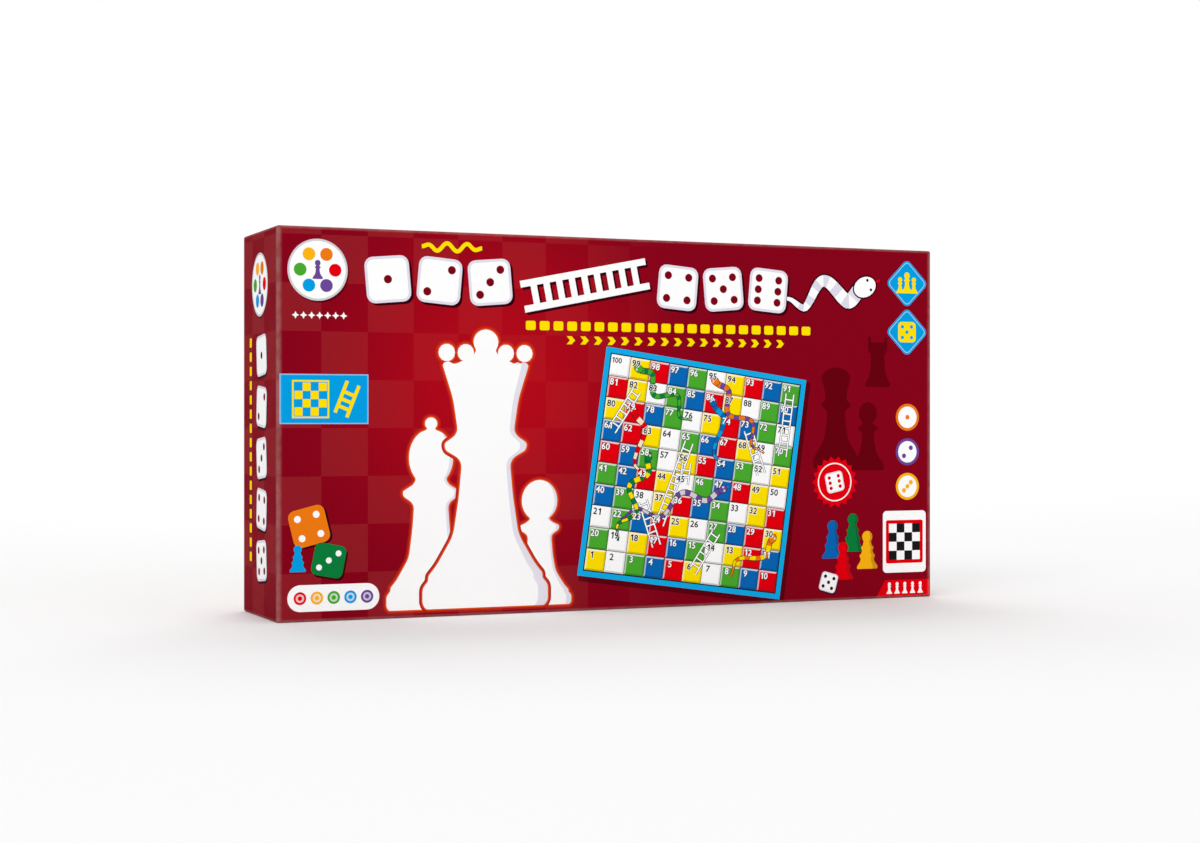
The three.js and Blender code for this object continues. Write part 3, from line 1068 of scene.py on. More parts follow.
@dataclass
class CoverArt(BackArt):
    """The print on the lid of the box: plain game motifs on the dark red ground."""

    length: float = 267.8
    depth: float = 49.0
    height: float = 138.8
    drop: float = 0.9

    def front(self, pen: Pen) -> None:
        """Draws the large panel.

        Args:
            pen: the pen, at the panel's lower left corner.
        """
        ghosts = ((Kind.KING, 224 + 52j, 46), (Kind.PAWN, 238.5 + 51j, 27), (Kind.ROOK, 243 + 84j, 20))
        for kind, spot, height in ghosts:
            pen.at(spot).figure(kind, height, Ink.GHOST.tone(cover=0.62))
        self.headline(pen.at(32 + 121j), 16.6)
        pen.at(95 + 105.6j).row(22, 5.5, Ink.YELLOW, rectangle(3.9, 3.4, 0.7))
        arrow = np.array([-1.7 - 1.5j, 0.3 - 1.5j, 1.7 + 0j, 0.3 + 1.5j, -1.7 + 1.5j, -0.4 + 0j])
        pen.at(111 + 100.4j).row(17, 5.5, Ink.YELLOW, arrow)
        pen.fill(Ink.YELLOW, ribbon(winding(53 + 133.2j, 76 + 133.2j, 1.4, 3), 0.75))
        for kind, across, height in ((Kind.BISHOP, 56.5, 69), (Kind.PAWN, 98.5, 46), (Kind.QUEEN, 77.5, 101)):
            pen.at(across + 2.8j).figure(kind, height, Ink.WHITE, halo=1.3)
        game = LadderGame()
        board = pen.at(113.5 + 13.2j, -8, 86 / game.side)
        board.at(131 + 123j).fill(Ink.SHADOW.tone(cover=0.65), square(game.side + 4))
        game.draw(board)
        self.left_marks(pen)
        self.right_marks(pen)
        self.corner_marks(pen)

    def headline(self, pen: Pen, side: float) -> None:
        """Draws the white row along the top: dice, a ladder and a snake.

        Args:
            pen: the pen, at the middle of the row's left edge.
            side: the width of a die.
        """
        pitch = side * 1.17
        for i in range(6):
            across = side / 2 + i * pitch + (pitch * 2.9 if i > 2 else 0)
            pen.at(across + 0j, 5 * (-1) ** i).die(side, i + 1, Ink.WHITE, Ink.CRIMSON, self.drop)
        foot = 3 * pitch + 1.5 - 5j
        for ink, shift in ((Ink.SHADOW, self.drop), (Ink.WHITE, 0.0)):
            rung = pen.at(shift * (1 - 1j))
            rung.ladder(foot, foot + pitch * 2.6 + 10j, side * 0.56, ink, ink, side * 0.31)
        tail = side + 7.9 * pitch - 3j
        path = winding(tail + 1.75 * pitch + 5j, tail, side * 0.3, 1.5)
        pen.snake(path, side * 0.36, (Ink.WHITE, Ink.LILAC, Ink.SHADOW))

    def badge(self, pen: Pen, radius: float) -> None:
        """Draws the white disc with dots in many colours.

        Args:
            pen: the pen, at its middle.
            radius: the radius of the disc.
        """
        pen.at(0.5 - 0.7j).fill(Ink.SHADOW.tone(cover=0.7), circle(radius, 48))
        pen.fill(Ink.MIST, circle(radius, 48))
        pen.fill(Ink.WHITE, circle(radius * 0.93, 48))
        inks = (Ink.RED, Ink.ORANGE, Ink.AMBER, Ink.GREEN, Ink.SKY, Ink.VIOLET)
        for turn, ink in enumerate(inks):
            pen.at(cmath.rect(radius * 0.58, math.tau * turn / len(inks))).fill(ink, circle(radius * 0.21))
        pen.at(-0.3j * radius).figure(Kind.PAWN, radius * 0.62, Ink.VIOLET)

    def left_marks(self, pen: Pen) -> None:
        """Draws the small marks down the left edge.

        Args:
            pen: the pen, at the panel's lower left corner.
        """
        self.badge(pen.at(14.6 + 123.6j), 10.9)
        pen.at(6.6 + 107.6j).row(7, 2.9, Ink.WHITE, star(4, 1.3, 0.62))
        plate = pen.at(17 + 78.2j)
        edge = rectangle(32.2, 17.6)
        plate.fill(Ink.SKY, edge)
        plate.fill(Ink.WHITE.tone(Ink.SKY, 0.72), edge, grow(edge, -0.4))
        board = plate.at(-4.95 - 0.05j)
        board.chequers(4, 2.9, Ink.YELLOW)
        board.fill(Ink.YELLOW, square(13.4), square(12.2))
        plate.ladder(6 - 5.6j, 10.5 + 5.6j, 4.6, Ink.YELLOW, Ink.YELLOW, 2.7)
        pen.at(11.5 + 33.5j, 14).die(13.4, 4, Ink.ORANGE, Ink.WHITE, 0.7)
        pen.at(18.6 + 21.4j, -11).die(11.6, 3, Ink.LEAF, Ink.WHITE, 0.7)
        pen.at(7.4 + 17.6j).figure(Kind.COUNTER, 9.4, Ink.SKY)
        pen.at(20.4 + 8.3j).fill(Ink.WHITE, rectangle(33.4, 9.4, 4.6, 8))
        for i, ink in enumerate((Ink.RED, Ink.AMBER, Ink.GREEN, Ink.SKY, Ink.VIOLET)):
            dot = pen.at(8.2 + 8.3j + i * 6.1)
            dot.fill(ink, circle(2.3))
            dot.fill(ink.tone(Ink.WHITE, 0.55), circle(1.5), circle(0.8))

    def right_marks(self, pen: Pen) -> None:
        """Draws the small marks down the right edge.

        Args:
            pen: the pen, at the panel's lower left corner.
        """
        column = 256.6
        for up in (125.4, 106.0):
            diamond = pen.at(complex(column, up), 45)
            diamond.fill(Ink.SKY, square(14, 2.2))
            diamond.fill(Ink.WHITE.tone(Ink.SKY, 0.5), square(12.7, 1.7), square(12.2, 1.5))
        for across, height in ((-3.2, 6.4), (3.2, 6.4), (0, 8.4)):
            pen.at(column + across + 121.5j).figure(Kind.PAWN, height, Ink.YELLOW)
        pen.at(column + 106j).die(8.2, 5, Ink.YELLOW, Ink.SKY)
        for i, ink in enumerate((Ink.ORANGE, Ink.VIOLET, Ink.AMBER)):
            spot = pen.at(256.8 + 72j - 13.8j * i)
            spot.fill(ink, circle(5.4, 32))
            spot.fill(Ink.WHITE, circle(4.3, 32))
            for place in pip_places(i + 1):
                spot.at(place * 1.6).fill(ink, circle(0.95, 16))
        burst = pen.at(223.4 + 46.5j)
        burst.fill(Ink.RED, star(18, 10.2, 8.6))
        burst.fill(Ink.WHITE, circle(7.6, 40), circle(7.1, 40))
        burst.at(0j, 12).die(8, 6, Ink.WHITE, Ink.RED)

    def corner_marks(self, pen: Pen) -> None:
        """Draws the counters with their die, the card and the red band in the lower right corner.

        Args:
            pen: the pen, at the panel's lower left corner.
        """
        inks = (Ink.BLUE, Ink.LEAF, Ink.AMBER, Ink.RED)
        for ink, spot in zip(inks, (222.4 + 16.5j, 231.6 + 19j, 238.2 + 12j, 227.2 + 8j)):
            pen.at(spot).figure(Kind.COUNTER, 15, ink)
            pen.at(spot).fill(ink.tone(Ink.BLACK, 0.35), Kind.COUNTER.value.silhouette(15, 0.55))
        pen.at(220.6 + 7.2j, -16).die(7.6, 5, Ink.WHITE, Ink.BLACK, 0.5)
        card = pen.at(255.4 + 22.4j)
        card.fill(Ink.WHITE, rectangle(20, 24.6, 1.6))
        card.fill(Ink.RED, square(17.2, 0.8))
        card.fill(Ink.WHITE, square(14.4))
        card.chequers(4, 3.6, Ink.BLACK)
        pen.fill(Ink.RED, np.array([242.6 + 0.8j, 267 + 0.8j, 267 + 7.2j, 246.4 + 7.2j]))
        for i in range(5):
            pen.at(248.4 + 1.7j + i * 3.6).figure(Kind.PAWN, 4.6, Ink.WHITE)

    def end(self, pen: Pen, toward: int) -> None:
        """Draws an end panel: the badge over a column of dice.

        Args:
            pen: the pen, at the panel's lower left corner.
            toward: 1 if the front is on the panel's right, -1 if it is on its left.
        """
        middle = self.depth / 2
        self.badge(pen.at(middle + 119.5j), 11.5)
        for i in range(5):
            spot = middle + 2.5 * toward + 94j - i * 18.4j
            pen.at(spot, 5 * (-1) ** i).die(14.6, i + 1, Ink.WHITE, Ink.CRIMSON, self.drop)
        pen.at(middle - 13.5 * toward + 99j).row(16, -5.2j, Ink.YELLOW, rectangle(3, 3.4, 0.6))

    def strip(self, pen: Pen) -> None:
        """Draws a long side: the headline and the badge.

        Args:
            pen: the pen, at the panel's lower left corner.
        """
        middle = self.depth / 2 * 1j
        self.headline(pen.at(44 + 4.5j + middle), 14.6)
        self.badge(pen.at(23 + middle), 12.5)
        pen.at(48.5 - 11.5j + middle).row(30, 6, Ink.YELLOW, rectangle(4, 3, 0.7))
        pen.at(248 + middle, 45).fill(Ink.SKY, square(15, 2.2))
        pen.at(248 - 4.5j + middle).figure(Kind.PAWN, 9.5, Ink.YELLOW)


@contextmanager
def editing(mesh: Mesh) -> Iterator[bmesh.types.BMesh]:
    """Opens a mesh for editing, and writes it back afterwards.

    Args:
        mesh: the mesh.

    Yields:
        What is edited.
    """
    work = bmesh.new()
    work.from_mesh(mesh)
    yield work
    work.to_mesh(mesh)
    work.free()


class FaceList:
    """The faces of one mesh, with the ink of each and the place of each corner on flat maps."""

    def __init__(self) -> None:
        """Starts with no face."""
        self.points: list[Spot] = []
        self.faces: list[list[int]] = []
        self.inks: list[Colour] = []
        self.rounded: list[bool] = []
        self.maps: dict[str, list[complex]] = {}

    def add(
        self, corners: Sequence[Spot], ink: Colour = BARE, rounded: bool = False, **maps: Sequence[complex]
    ) -> None:
        """Adds one face, unless its corners fall together.

        Args:
            corners: its corners in millimetres, counter-clockwise from outside.
            ink: its colour.
            rounded: if it is part of a rounded edge.
            maps: the places of the corners on each map, by its name.
        """
        kept = [i for i, corner in enumerate(corners) if math.dist(corner, corners[i - 1]) > WELD]
        if len(kept) < 3:
            return
        self.faces.append(list(range(len(self.points), len(self.points) + len(kept))))
        self.points += [corners[i] for i in kept]
        self.inks.append(ink)
        self.rounded.append(rounded)
        for name, places in maps.items():
            self.maps.setdefault(name, []).extend(places[i] for i in kept)

    def skin(self, rings: Sequence[Sequence[Spot]], start: int = 0, rounded: bool = True) -> None:
        """Adds the faces between closed rings that follow each other.

        Args:
            rings: the rings, with as many points each.
            start: the first stretch of the rings that gets faces.
            rounded: if the faces are part of a rounded shape.
        """
        for near, far in zip(rings, rings[1:]):
            for i in range(start, len(near)):
                self.add([near[i - 1], near[i], far[i], far[i - 1]], rounded=rounded)

    def band(self, section: Outline, place: Placer, reach: float, start: int = 0) -> None:
        """Adds a strip of sheet material: a thin section that is drawn out.

        Args:
            section: along one face of the sheet and back along the other.
            place: puts a point of the section, at a distance along the strip, in space.
            reach: the length of the strip.
            start: the first stretch of the section that gets faces.
        """
        count = len(section)
        ends = [[place(spot, along) for spot in section] for along in (0.0, reach)]
        # Stretch 0 of a ring ends at its first point, so the rings start with the section's second point
        self.skin([end[1:] + end[:1] for end in ends], start)
        for i in range(count // 2 - 1):
            for end in ends:
                self.add([end[k] for k in (i, i + 1, count - 2 - i, count - 1 - i)])

    def mesh(self, name: str, outwards: bool = False) -> Mesh:
        """Writes the mesh in metres, with its inks and its maps.

        Args:
            name: the name of the mesh.
            outwards: if its faces are still to be turned outwards.

        Returns:
            The mesh, with corners that fall together merged.
        """
        mesh = bpy.data.meshes.new(name)
        mesh.from_pydata([tuple(part * MM for part in p) for p in self.points], [], self.faces)
        inks = np.repeat(np.array(self.inks, np.float32), [len(face) for face in self.faces], axis=0)
        mesh.attributes.new(INK_LAYER, "FLOAT_COLOR", "CORNER").data.foreach_set("color", inks.ravel())
        for layer, places in self.maps.items():
            flat = np.array(places, np.complex64).view(np.float32)
            mesh.uv_layers.new(name=layer).uv.foreach_set("vector", flat)
        mesh.polygons.foreach_set("use_smooth", self.rounded)
        with editing(mesh) as work:
            bmesh.ops.remove_doubles(work, verts=work.verts, dist=WELD * MM)
            if outwards:
                bmesh.ops.recalc_face_normals(work, faces=work.faces)
        return mesh


def working_object(data: bpy.types.ID) -> bpy.types.Object:
    """Puts data into the scene.

    Args:
        data: a mesh, a curve, a lamp or a camera.

    Returns:
        The object that holds it, at the origin.
    """
    holder = bpy.data.objects.new(data.name, data)
    bpy.context.scene.collection.objects.link(holder)
    return holder


def applied_mesh(holder: bpy.types.Object) -> Mesh:
    """Returns a copy of an object's shape with its modifiers applied."""
    bpy.context.view_layer.update()
    return bpy.data.meshes.new_from_object(holder.evaluated_get(bpy.context.evaluated_depsgraph_get()))


def modified(mesh: Mesh, kind: str, **settings: object) -> Mesh:
    """Applies a modifier.

    Args:
        mesh: the mesh to start from.
        kind: the kind of modifier.
        settings: its settings.

    Returns:
        The changed mesh.
    """
    holder = working_object(mesh)
    change = holder.modifiers.new("change", kind)
    for name, value in settings.items():
        setattr(change, name, value)
    made = applied_mesh(holder)
    bpy.data.objects.remove(holder)
    return made


def combined(base: Mesh, tool: Mesh, operation: str) -> Mesh:
    """Joins two closed meshes, or cuts one with the other.

    Args:
        base: the mesh that is kept.
        tool: the mesh that is joined to it or cut out of it.
        operation: UNION or DIFFERENCE.

    Returns:
        The combined mesh.
    """
    cutter = working_object(tool)
    made = modified(base, "BOOLEAN", object=cutter, operation=operation, solver="EXACT")
    bpy.data.objects.remove(cutter)
    return made


def joined(*meshes: Mesh) -> Mesh:
    """Puts closed meshes that belong to one moulding into one mesh.

    Args:
        meshes: the meshes, which stay as they are.

    Returns:
        The new mesh.
    """
    made = bpy.data.meshes.new("joined")
    with editing(made) as work:
        for mesh in meshes:
            work.from_mesh(mesh)
    return made


def stand_in(
    name: str, mesh: Mesh, body: str | None, slot: str, node: str, *finishes: Finish
) -> bpy.types.Object:
    """Puts a finished piece into the scene in place of its CAD node.

    Args:
        name: the piece's name.
        mesh: its mesh, in place.
        body: the body that it moves with, or none to leave it on no body.
        slot: the material slot of the record; not used.
        node: the node that it replaces.
        finishes: its finishes, in the order of its material slots.

    Returns:
        The new object, at the origin.
    """
    mesh.name = name
    mesh.materials.clear()
    for finish in finishes:
        mesh.materials.append(finish.material())
    piece = working_object(mesh)
    if body:
        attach(piece, body)
    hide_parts(node)
    log.info("%s: %d faces, on %s", piece.name, len(mesh.polygons), body or "two bodies")
    return piece


def node_box(node: str) -> tuple[Spot, Spot, Spot]:
    """Returns the lowest corner, the highest corner and the size of a CAD node, in millimetres."""
    low, high = (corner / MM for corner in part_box(node))
    return tuple(low), tuple(high), tuple(high - low)


def recoat(node: str, finish: Finish) -> None:
    """Gives a CAD node that stays in view a finish.

    Args:
        node: the node.
        finish: its finish.
    """
    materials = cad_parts[node].data.materials
    materials.clear()
    materials.append(finish.material())
    log.info("%s: kept, with the finish %s", node, finish.name)


def ring(corner: complex, size: complex, rounding: float, inset: float, deep: float) -> list[Spot]:
    """Makes a ring round a panel, inside its outline, with as many points at any inset.

    Args:
        corner: the panel's lower left corner.
        size: its width and height.
        rounding: the radius of its corners.
        inset: how far the ring lies inside the outline.
        deep: how far it lies behind the front.

    Returns:
        Points of (across, deep, up), counter-clockwise from the upper right corner.
    """
    width, height = size.real - 2 * inset, size.imag - 2 * inset
    outline = rectangle(width, height, max(rounding - inset, WELD / 2), CORNER_STEPS)
    return [(spot.real, deep, spot.imag) for spot in outline + corner + size / 2]


class Side(Enum):
    """The walls of a box half, in the order of a ring's straight stretches, and the way that each unfolds."""

    TOP = 1j
    LEFT = -1 + 0j
    BOTTOM = -1j
    RIGHT = 1 + 0j


@dataclass
class BoxHalf:
    """The printed wrap of one half of the box, folded over the greyboard tray that the frame holds."""

    name: str
    art: BackArt
    faces_back: bool
    fold: float = 0.8
    rim: float = 0.6
    paper: float = 0.3
    wall: float = 2.2
    turn_in: float = 15.0
    # How much of the map for baking the front, each long side, both ends and the folds take up, from its foot
    map_rows: tuple[float, ...] = (0.5, 0.13, 0.13, 0.12, 0.12)
    map_gap: float = 0.005
    low: Spot = field(init=False)
    high: Spot = field(init=False)
    length: float = field(init=False)
    depth: float = field(init=False)
    height: float = field(init=False)
    scale: float = field(init=False)
    faces: FaceList = field(init=False, default_factory=FaceList)

    def __post_init__(self) -> None:
        """Reads the size of the wrap from its CAD node, and the scale of its print from that."""
        self.low, self.high, (self.length, self.depth, self.height) = node_box(f"{self.name}_wrap")
        self.scale = self.length / self.art.length

    def build(self) -> None:
        """Builds the wrap, and gives the greyboard under it its finish."""
        self.add_folds()
        for side, art in self.panels().items():
            for spots, ink in art.triangles():
                corners = [self.on_panel(side, spot) for spot in spots]
                self.add(corners, side.value if side else 0, [self.on_map(side, spot) for spot in spots], ink)
        # Matt film over offset print: deep, even colour with a faint, soft sheen, and paler at the folds,
        # where a highlight is painted and the print is abraded
        finish = LaminatedPrint(
            f"matt_laminated_print_{self.name}", "#85041a", "#8f1b25", grain=11.0, gloss=(0.46, 0.58),
            specular=0.004, low=self.low, high=self.high,
        )
        name = f"{self.name}_printed_wrap"
        stand_in(name, self.faces.mesh(name), self.name, "laminated_print", f"{self.name}_wrap", finish)
        recoat(f"{self.name}_shell", GREYBOARD)

    def panels(self) -> dict[Side | None, Artwork]:
        """Draws the front and the four walls.

        Returns:
            The artwork of each wall, and of the front under none.
        """
        fold, rim = self.fold, self.rim
        right, top, deep = self.length - fold, self.height - fold, self.depth - fold
        panels = {
            None: Artwork(fold, fold, right, top),
            Side.LEFT: Artwork(rim, fold, deep, top),
            Side.RIGHT: Artwork(fold, fold, self.depth - rim, top),
            Side.TOP: Artwork(fold, fold, right, self.depth - rim),
            Side.BOTTOM: Artwork(fold, rim, right, deep),
        }
        pens = {side: Pen(panel).at(0j, scale=self.scale) for side, panel in panels.items()}
        self.art.front(pens[None])
        for side, toward in ((Side.LEFT, 1), (Side.RIGHT, -1)):
            self.art.end(pens[side], toward)
        for side in (Side.TOP, Side.BOTTOM):
            self.art.strip(pens[side])
        return panels

    def add_folds(self) -> None:
        """Adds the paper that isn't a flat printed panel: its folds, its turned-in edge and its back."""
        path = self.path()
        size = complex(self.length, self.height)
        loops = [ring(0j, size, self.fold, inset, deep) for inset, deep in path]
        outer = np.array([complex(x, z) for x, _, z in loops[CORNER_STEPS]])
        stretches = np.abs(np.roll(outer, -1) - outer)
        around = np.concatenate([[0], np.cumsum(stretches)]) / stretches.sum()
        base = 1 - self.map_rows[-1]
        step_up = self.map_rows[-1] / len(path) * 1j
        sides = list(Side)
        for j, (near, far) in enumerate(zip(loops, loops[1:])):
            for i in range(len(near)):
                corner, step = divmod(i, CORNER_STEPS + 1)
                if step == CORNER_STEPS and j == CORNER_STEPS:
                    continue
                side = sides[(corner - (2 * step < CORNER_STEPS)) % 4]
                after = (i + 1) % len(near)
                start, end = (base * 1j + j * step_up + around[k] for k in (i, i + 1))
                places = [start, start + step_up, end + step_up, end]
                self.add([near[i], far[i], far[after], near[after]], side.value, places, rounded=True)
        last = base * 1j + (len(path) - 1) * step_up
        back = [last + complex(x / self.length, z / self.height * step_up.imag) for x, _, z in loops[-1]]
        self.add(loops[-1][::-1], 0, back[::-1])

    def path(self) -> list[tuple[float, float]]:
        """Lists the insets and depths that the paper runs through, from the front fold to its own back.

        Returns:
            Pairs of (inset, deep).
        """
        fold, rim, wall, paper, depth = self.fold, self.rim, self.wall, self.paper, self.depth
        path = [(fold - fold * s, fold - fold * c) for s, c in QUARTER]
        path += [(rim - rim * c, depth - rim + rim * s) for s, c in QUARTER]
        path += [(wall - rim + rim * s, depth - rim + rim * c) for s, c in QUARTER]
        inner = wall - paper
        path += [(wall, depth - self.turn_in), (inner, depth - self.turn_in), (inner, depth - paper)]
        return path + [(paper, depth - paper), (paper, paper)]

    def add(
        self, corners: Sequence[Spot], way: complex, places: Sequence[complex], ink: Colour = BARE,
        rounded: bool = False,
    ) -> None:
        """Adds a face to the wrap.

        Args:
            corners: its corners, as (across, deep, up) from the front's lower left corner.
            way: the way that its wall unfolds, or 0 for the front.
            places: the places of the corners on the map for baking.
            ink: its colour.
            rounded: if it is part of a fold.
        """
        flat = [(complex(across, up) + deep * way) / self.scale * MM for across, deep, up in corners]
        start, turn = (self.high, -1) if self.faces_back else (self.low, 1)
        spots = [(start[0] + turn * x, start[1] + turn * y, self.low[2] + z) for x, y, z in corners]
        self.faces.add(spots, ink, rounded, **{SHEET_MAP: flat, BAKE_MAP: places})

    def on_panel(self, side: Side | None, spot: complex) -> Spot:
        """Puts a point of a panel's artwork on that panel.

        Args:
            side: the wall, or none for the front.
            spot: the point of the artwork.

        Returns:
            The point as (across, deep, up).
        """
        x, y = spot.real, spot.imag
        return {
            None: (x, 0.0, y), Side.LEFT: (0.0, self.depth - x, y), Side.RIGHT: (self.length, x, y),
            Side.TOP: (x, y, self.height), Side.BOTTOM: (x, self.depth - y, 0.0),
        }[side]

    def on_map(self, side: Side | None, spot: complex) -> complex:
        """Puts a point of a panel's artwork on the map for baking, where the panels lie in rows.

        Args:
            side: the wall, or none for the front.
            spot: the point of the artwork.

        Returns:
            The place, from 0 to 1 across and up.
        """
        row = {None: 0, Side.TOP: 1, Side.BOTTOM: 2}.get(side, 3)
        rise = self.map_rows[row] - self.map_gap
        foot = sum(self.map_rows[:row])
        if row < 3:
            height = self.depth if row else self.height
            return complex(spot.real / self.length, foot + spot.imag / height * rise)
        start = 0.5 if side is Side.RIGHT else 0.0
        share = 0.5 - self.map_gap
        return complex(start + spot.imag / self.height * share, foot + spot.real / self.depth * rise)


@dataclass
class FoldingBoard:
    """The board of two leaves: a game on each face, a fold across its middle and a film over the fold."""

    film: float = 0.3
    film_reach: float = 0.4
    film_steps: int = 8

    def build(self) -> None:
        """Builds the four printed sheets, the hinge film and the finish of the cores."""
        _, _, (side, _, leaf) = node_box("rear_leaf_snakes_sheet")
        games = {}
        for name, game in (("snakes", LadderGame(side)), ("chess", ChessField(side))):
            games[name] = Artwork(0, 0, side, side)
            game.draw(Pen(games[name]))
        for leaf_name, bottom in (("rear_leaf", 0.0), ("front_leaf", side - leaf)):
            for name, art in games.items():
                node = f"{leaf_name}_{name}_sheet"
                half = replace(art, bottom=bottom, top=bottom + leaf)
                mesh = self.sheet(node, half, name == "chess", leaf_name == "front_leaf")
                stand_in(f"{node}_print", mesh, leaf_name, "board_print", node, BOARD_PRINT)
            recoat(f"{leaf_name}_core", GREYBOARD)
        self.hinge_film()

    def sheet(self, node: str, art: Artwork, read_from_back: bool, upside_down: bool) -> Mesh:
        """Builds one printed sheet as a thin closed slab.

        Args:
            node: the CAD node of the sheet.
            art: the half of the artwork that is on it.
            read_from_back: if the open board shows this print to the back.
            upside_down: if the closed board holds this half upside down.

        Returns:
            The mesh.
        """
        low, high, _ = node_box(node)
        depths = (low[1], high[1]) if read_from_back == upside_down else (high[1], low[1])
        x, across = (high[0], -1) if read_from_back else (low[0], 1)
        z, up = (high[2], -1) if upside_down else (low[2], 1)
        faces = FaceList()

        def place(spot: complex, deep: int = 0) -> Spot:
            """Puts a point of the artwork on the printed face, or behind it on the glued one."""
            return x + across * (spot.real - art.left), depths[deep], z + up * (spot.imag - art.bottom)

        for spots, ink in art.triangles():
            faces.add([place(spot) for spot in spots], ink)
        faces.skin([[place(corner, deep) for corner in art.corners()] for deep in (1, 0)], rounded=False)
        faces.add([place(corner, 1) for corner in reversed(art.corners())])
        return faces.mesh(node)

    def hinge_film(self) -> None:
        """Builds the film round the fold, between the two leaves."""
        low, high, size = node_box("board_hinge_film")
        fold_y = (low[1] + high[1]) / 2
        bridge = high[2] - self.film
        half = self.film / 2
        reach = self.film_reach - half
        angles = np.linspace(0, math.pi, self.film_steps + 1)
        arc = [complex(reach * math.cos(a), bridge + half * math.sin(a)) for a in angles]
        path = np.array([complex(reach, low[2]), *arc, complex(-reach, low[2])])
        faces = FaceList()
        section = ribbon(path, half)
        faces.band(section, lambda spot, along: (low[0] + along, fold_y + spot.real, spot.imag), size[0])
        mesh = faces.mesh("hinge_film", outwards=True)
        piece = stand_in("board_hinge_strip", mesh, None, "hinge_film", "board_hinge_film", HINGE_FILM)
        start, end = ((0.0, (fold_y + way * (reach - half)) * MM, bridge * MM) for way in (1, -1))
        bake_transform(piece)
        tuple(start)
        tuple(end)


def prism(outline: Sequence[complex], half: float, edge: Profile) -> Mesh:
    """Builds an upright flat piece that is alike on both sides.

    Args:
        outline: its outline of across and up, counter-clockwise as seen from the front.
        half: half its thickness.
        edge: from each face inwards, the share of that half and how far the outline is drawn in there.

    Returns:
        The closed mesh.
    """
    layers = [(-half * share, inset) for share, inset in edge]
    layers += [(-deep, inset) for deep, inset in reversed(layers)]
    faces = FaceList()
    rings = [[(p.real, deep, p.imag) for p in grow(np.array(outline), -inset)] for deep, inset in layers]
    faces.skin(rings[::-1], rounded=False)
    faces.add(rings[0])
    faces.add(rings[-1][::-1])
    return faces.mesh("prism")


def block(width: float, depth: float, height: float) -> Mesh:
    """Returns a box about the origin, for cutting."""
    return prism(rectangle(width, height), depth / 2, [(1.0, 0.0)])


class NodeShape:
    """A Geometry Nodes tree with named inputs, which ends in a plain mesh with its finish."""

    def __init__(self, name: str, **inputs: str) -> None:
        """Starts the tree.

        Args:
            name: the tree's name.
            inputs: the kind of each named input.
        """
        self.tree = bpy.data.node_groups.new(name, "GeometryNodeTree")
        for key, kind in {"Geometry": "Geometry", **inputs, "Finish": "Material"}.items():
            self.tree.interface.new_socket(key, in_out="INPUT", socket_type=f"NodeSocket{kind}")
        self.tree.interface.new_socket("Geometry", in_out="OUTPUT", socket_type="NodeSocketGeometry")
        self.add = partial(add_node, self.tree)
        self.inputs = self.add("NodeGroupInput").node.outputs

    def realised(self, instances: Socket, source: Mesh, **sizes: object) -> Mesh:
        """Ends the tree and runs it.

        Args:
            instances: what the tree has made.
            source: the mesh that it starts from.
            sizes: a value for each named input.

        Returns:
            The plain mesh.
        """
        real = self.add("GeometryNodeRealizeInstances", [instances])
        self.add("NodeGroupOutput", [
            self.add("GeometryNodeSetMaterial", {"Geometry": real, "Material": self.inputs["Finish"]})
        ])
        holder = working_object(source)
        grown = holder.modifiers.new("grown", "NODES")
        grown.node_group = self.tree
        for key, value in sizes.items():
            grown[self.tree.interface.items_tree[key].identifier] = value
        made = applied_mesh(holder)
        bpy.data.objects.remove(holder)
        return made


def set_piece(node: str, shape: Mesh, finish: Finish, slot: str) -> None:
    """Stands a copy of a small piece where its node is, on the tray.

    Args:
        node: the CAD node that it replaces.
        shape: the piece, with its foot at the origin.
        finish: its finish.
        slot: the record's material slot.
    """
    low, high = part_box(node)
    mesh = shape.copy()
    mesh.transform(Matrix.Translation(((low.x + high.x) / 2, (low.y + high.y) / 2, low.z)))
    mesh.shade_smooth()
    mesh.set_sharp_from_angle(angle=SMOOTH_ANGLE)
    stand_in(f"{node}_moulding", mesh, "tray", slot, node, finish)


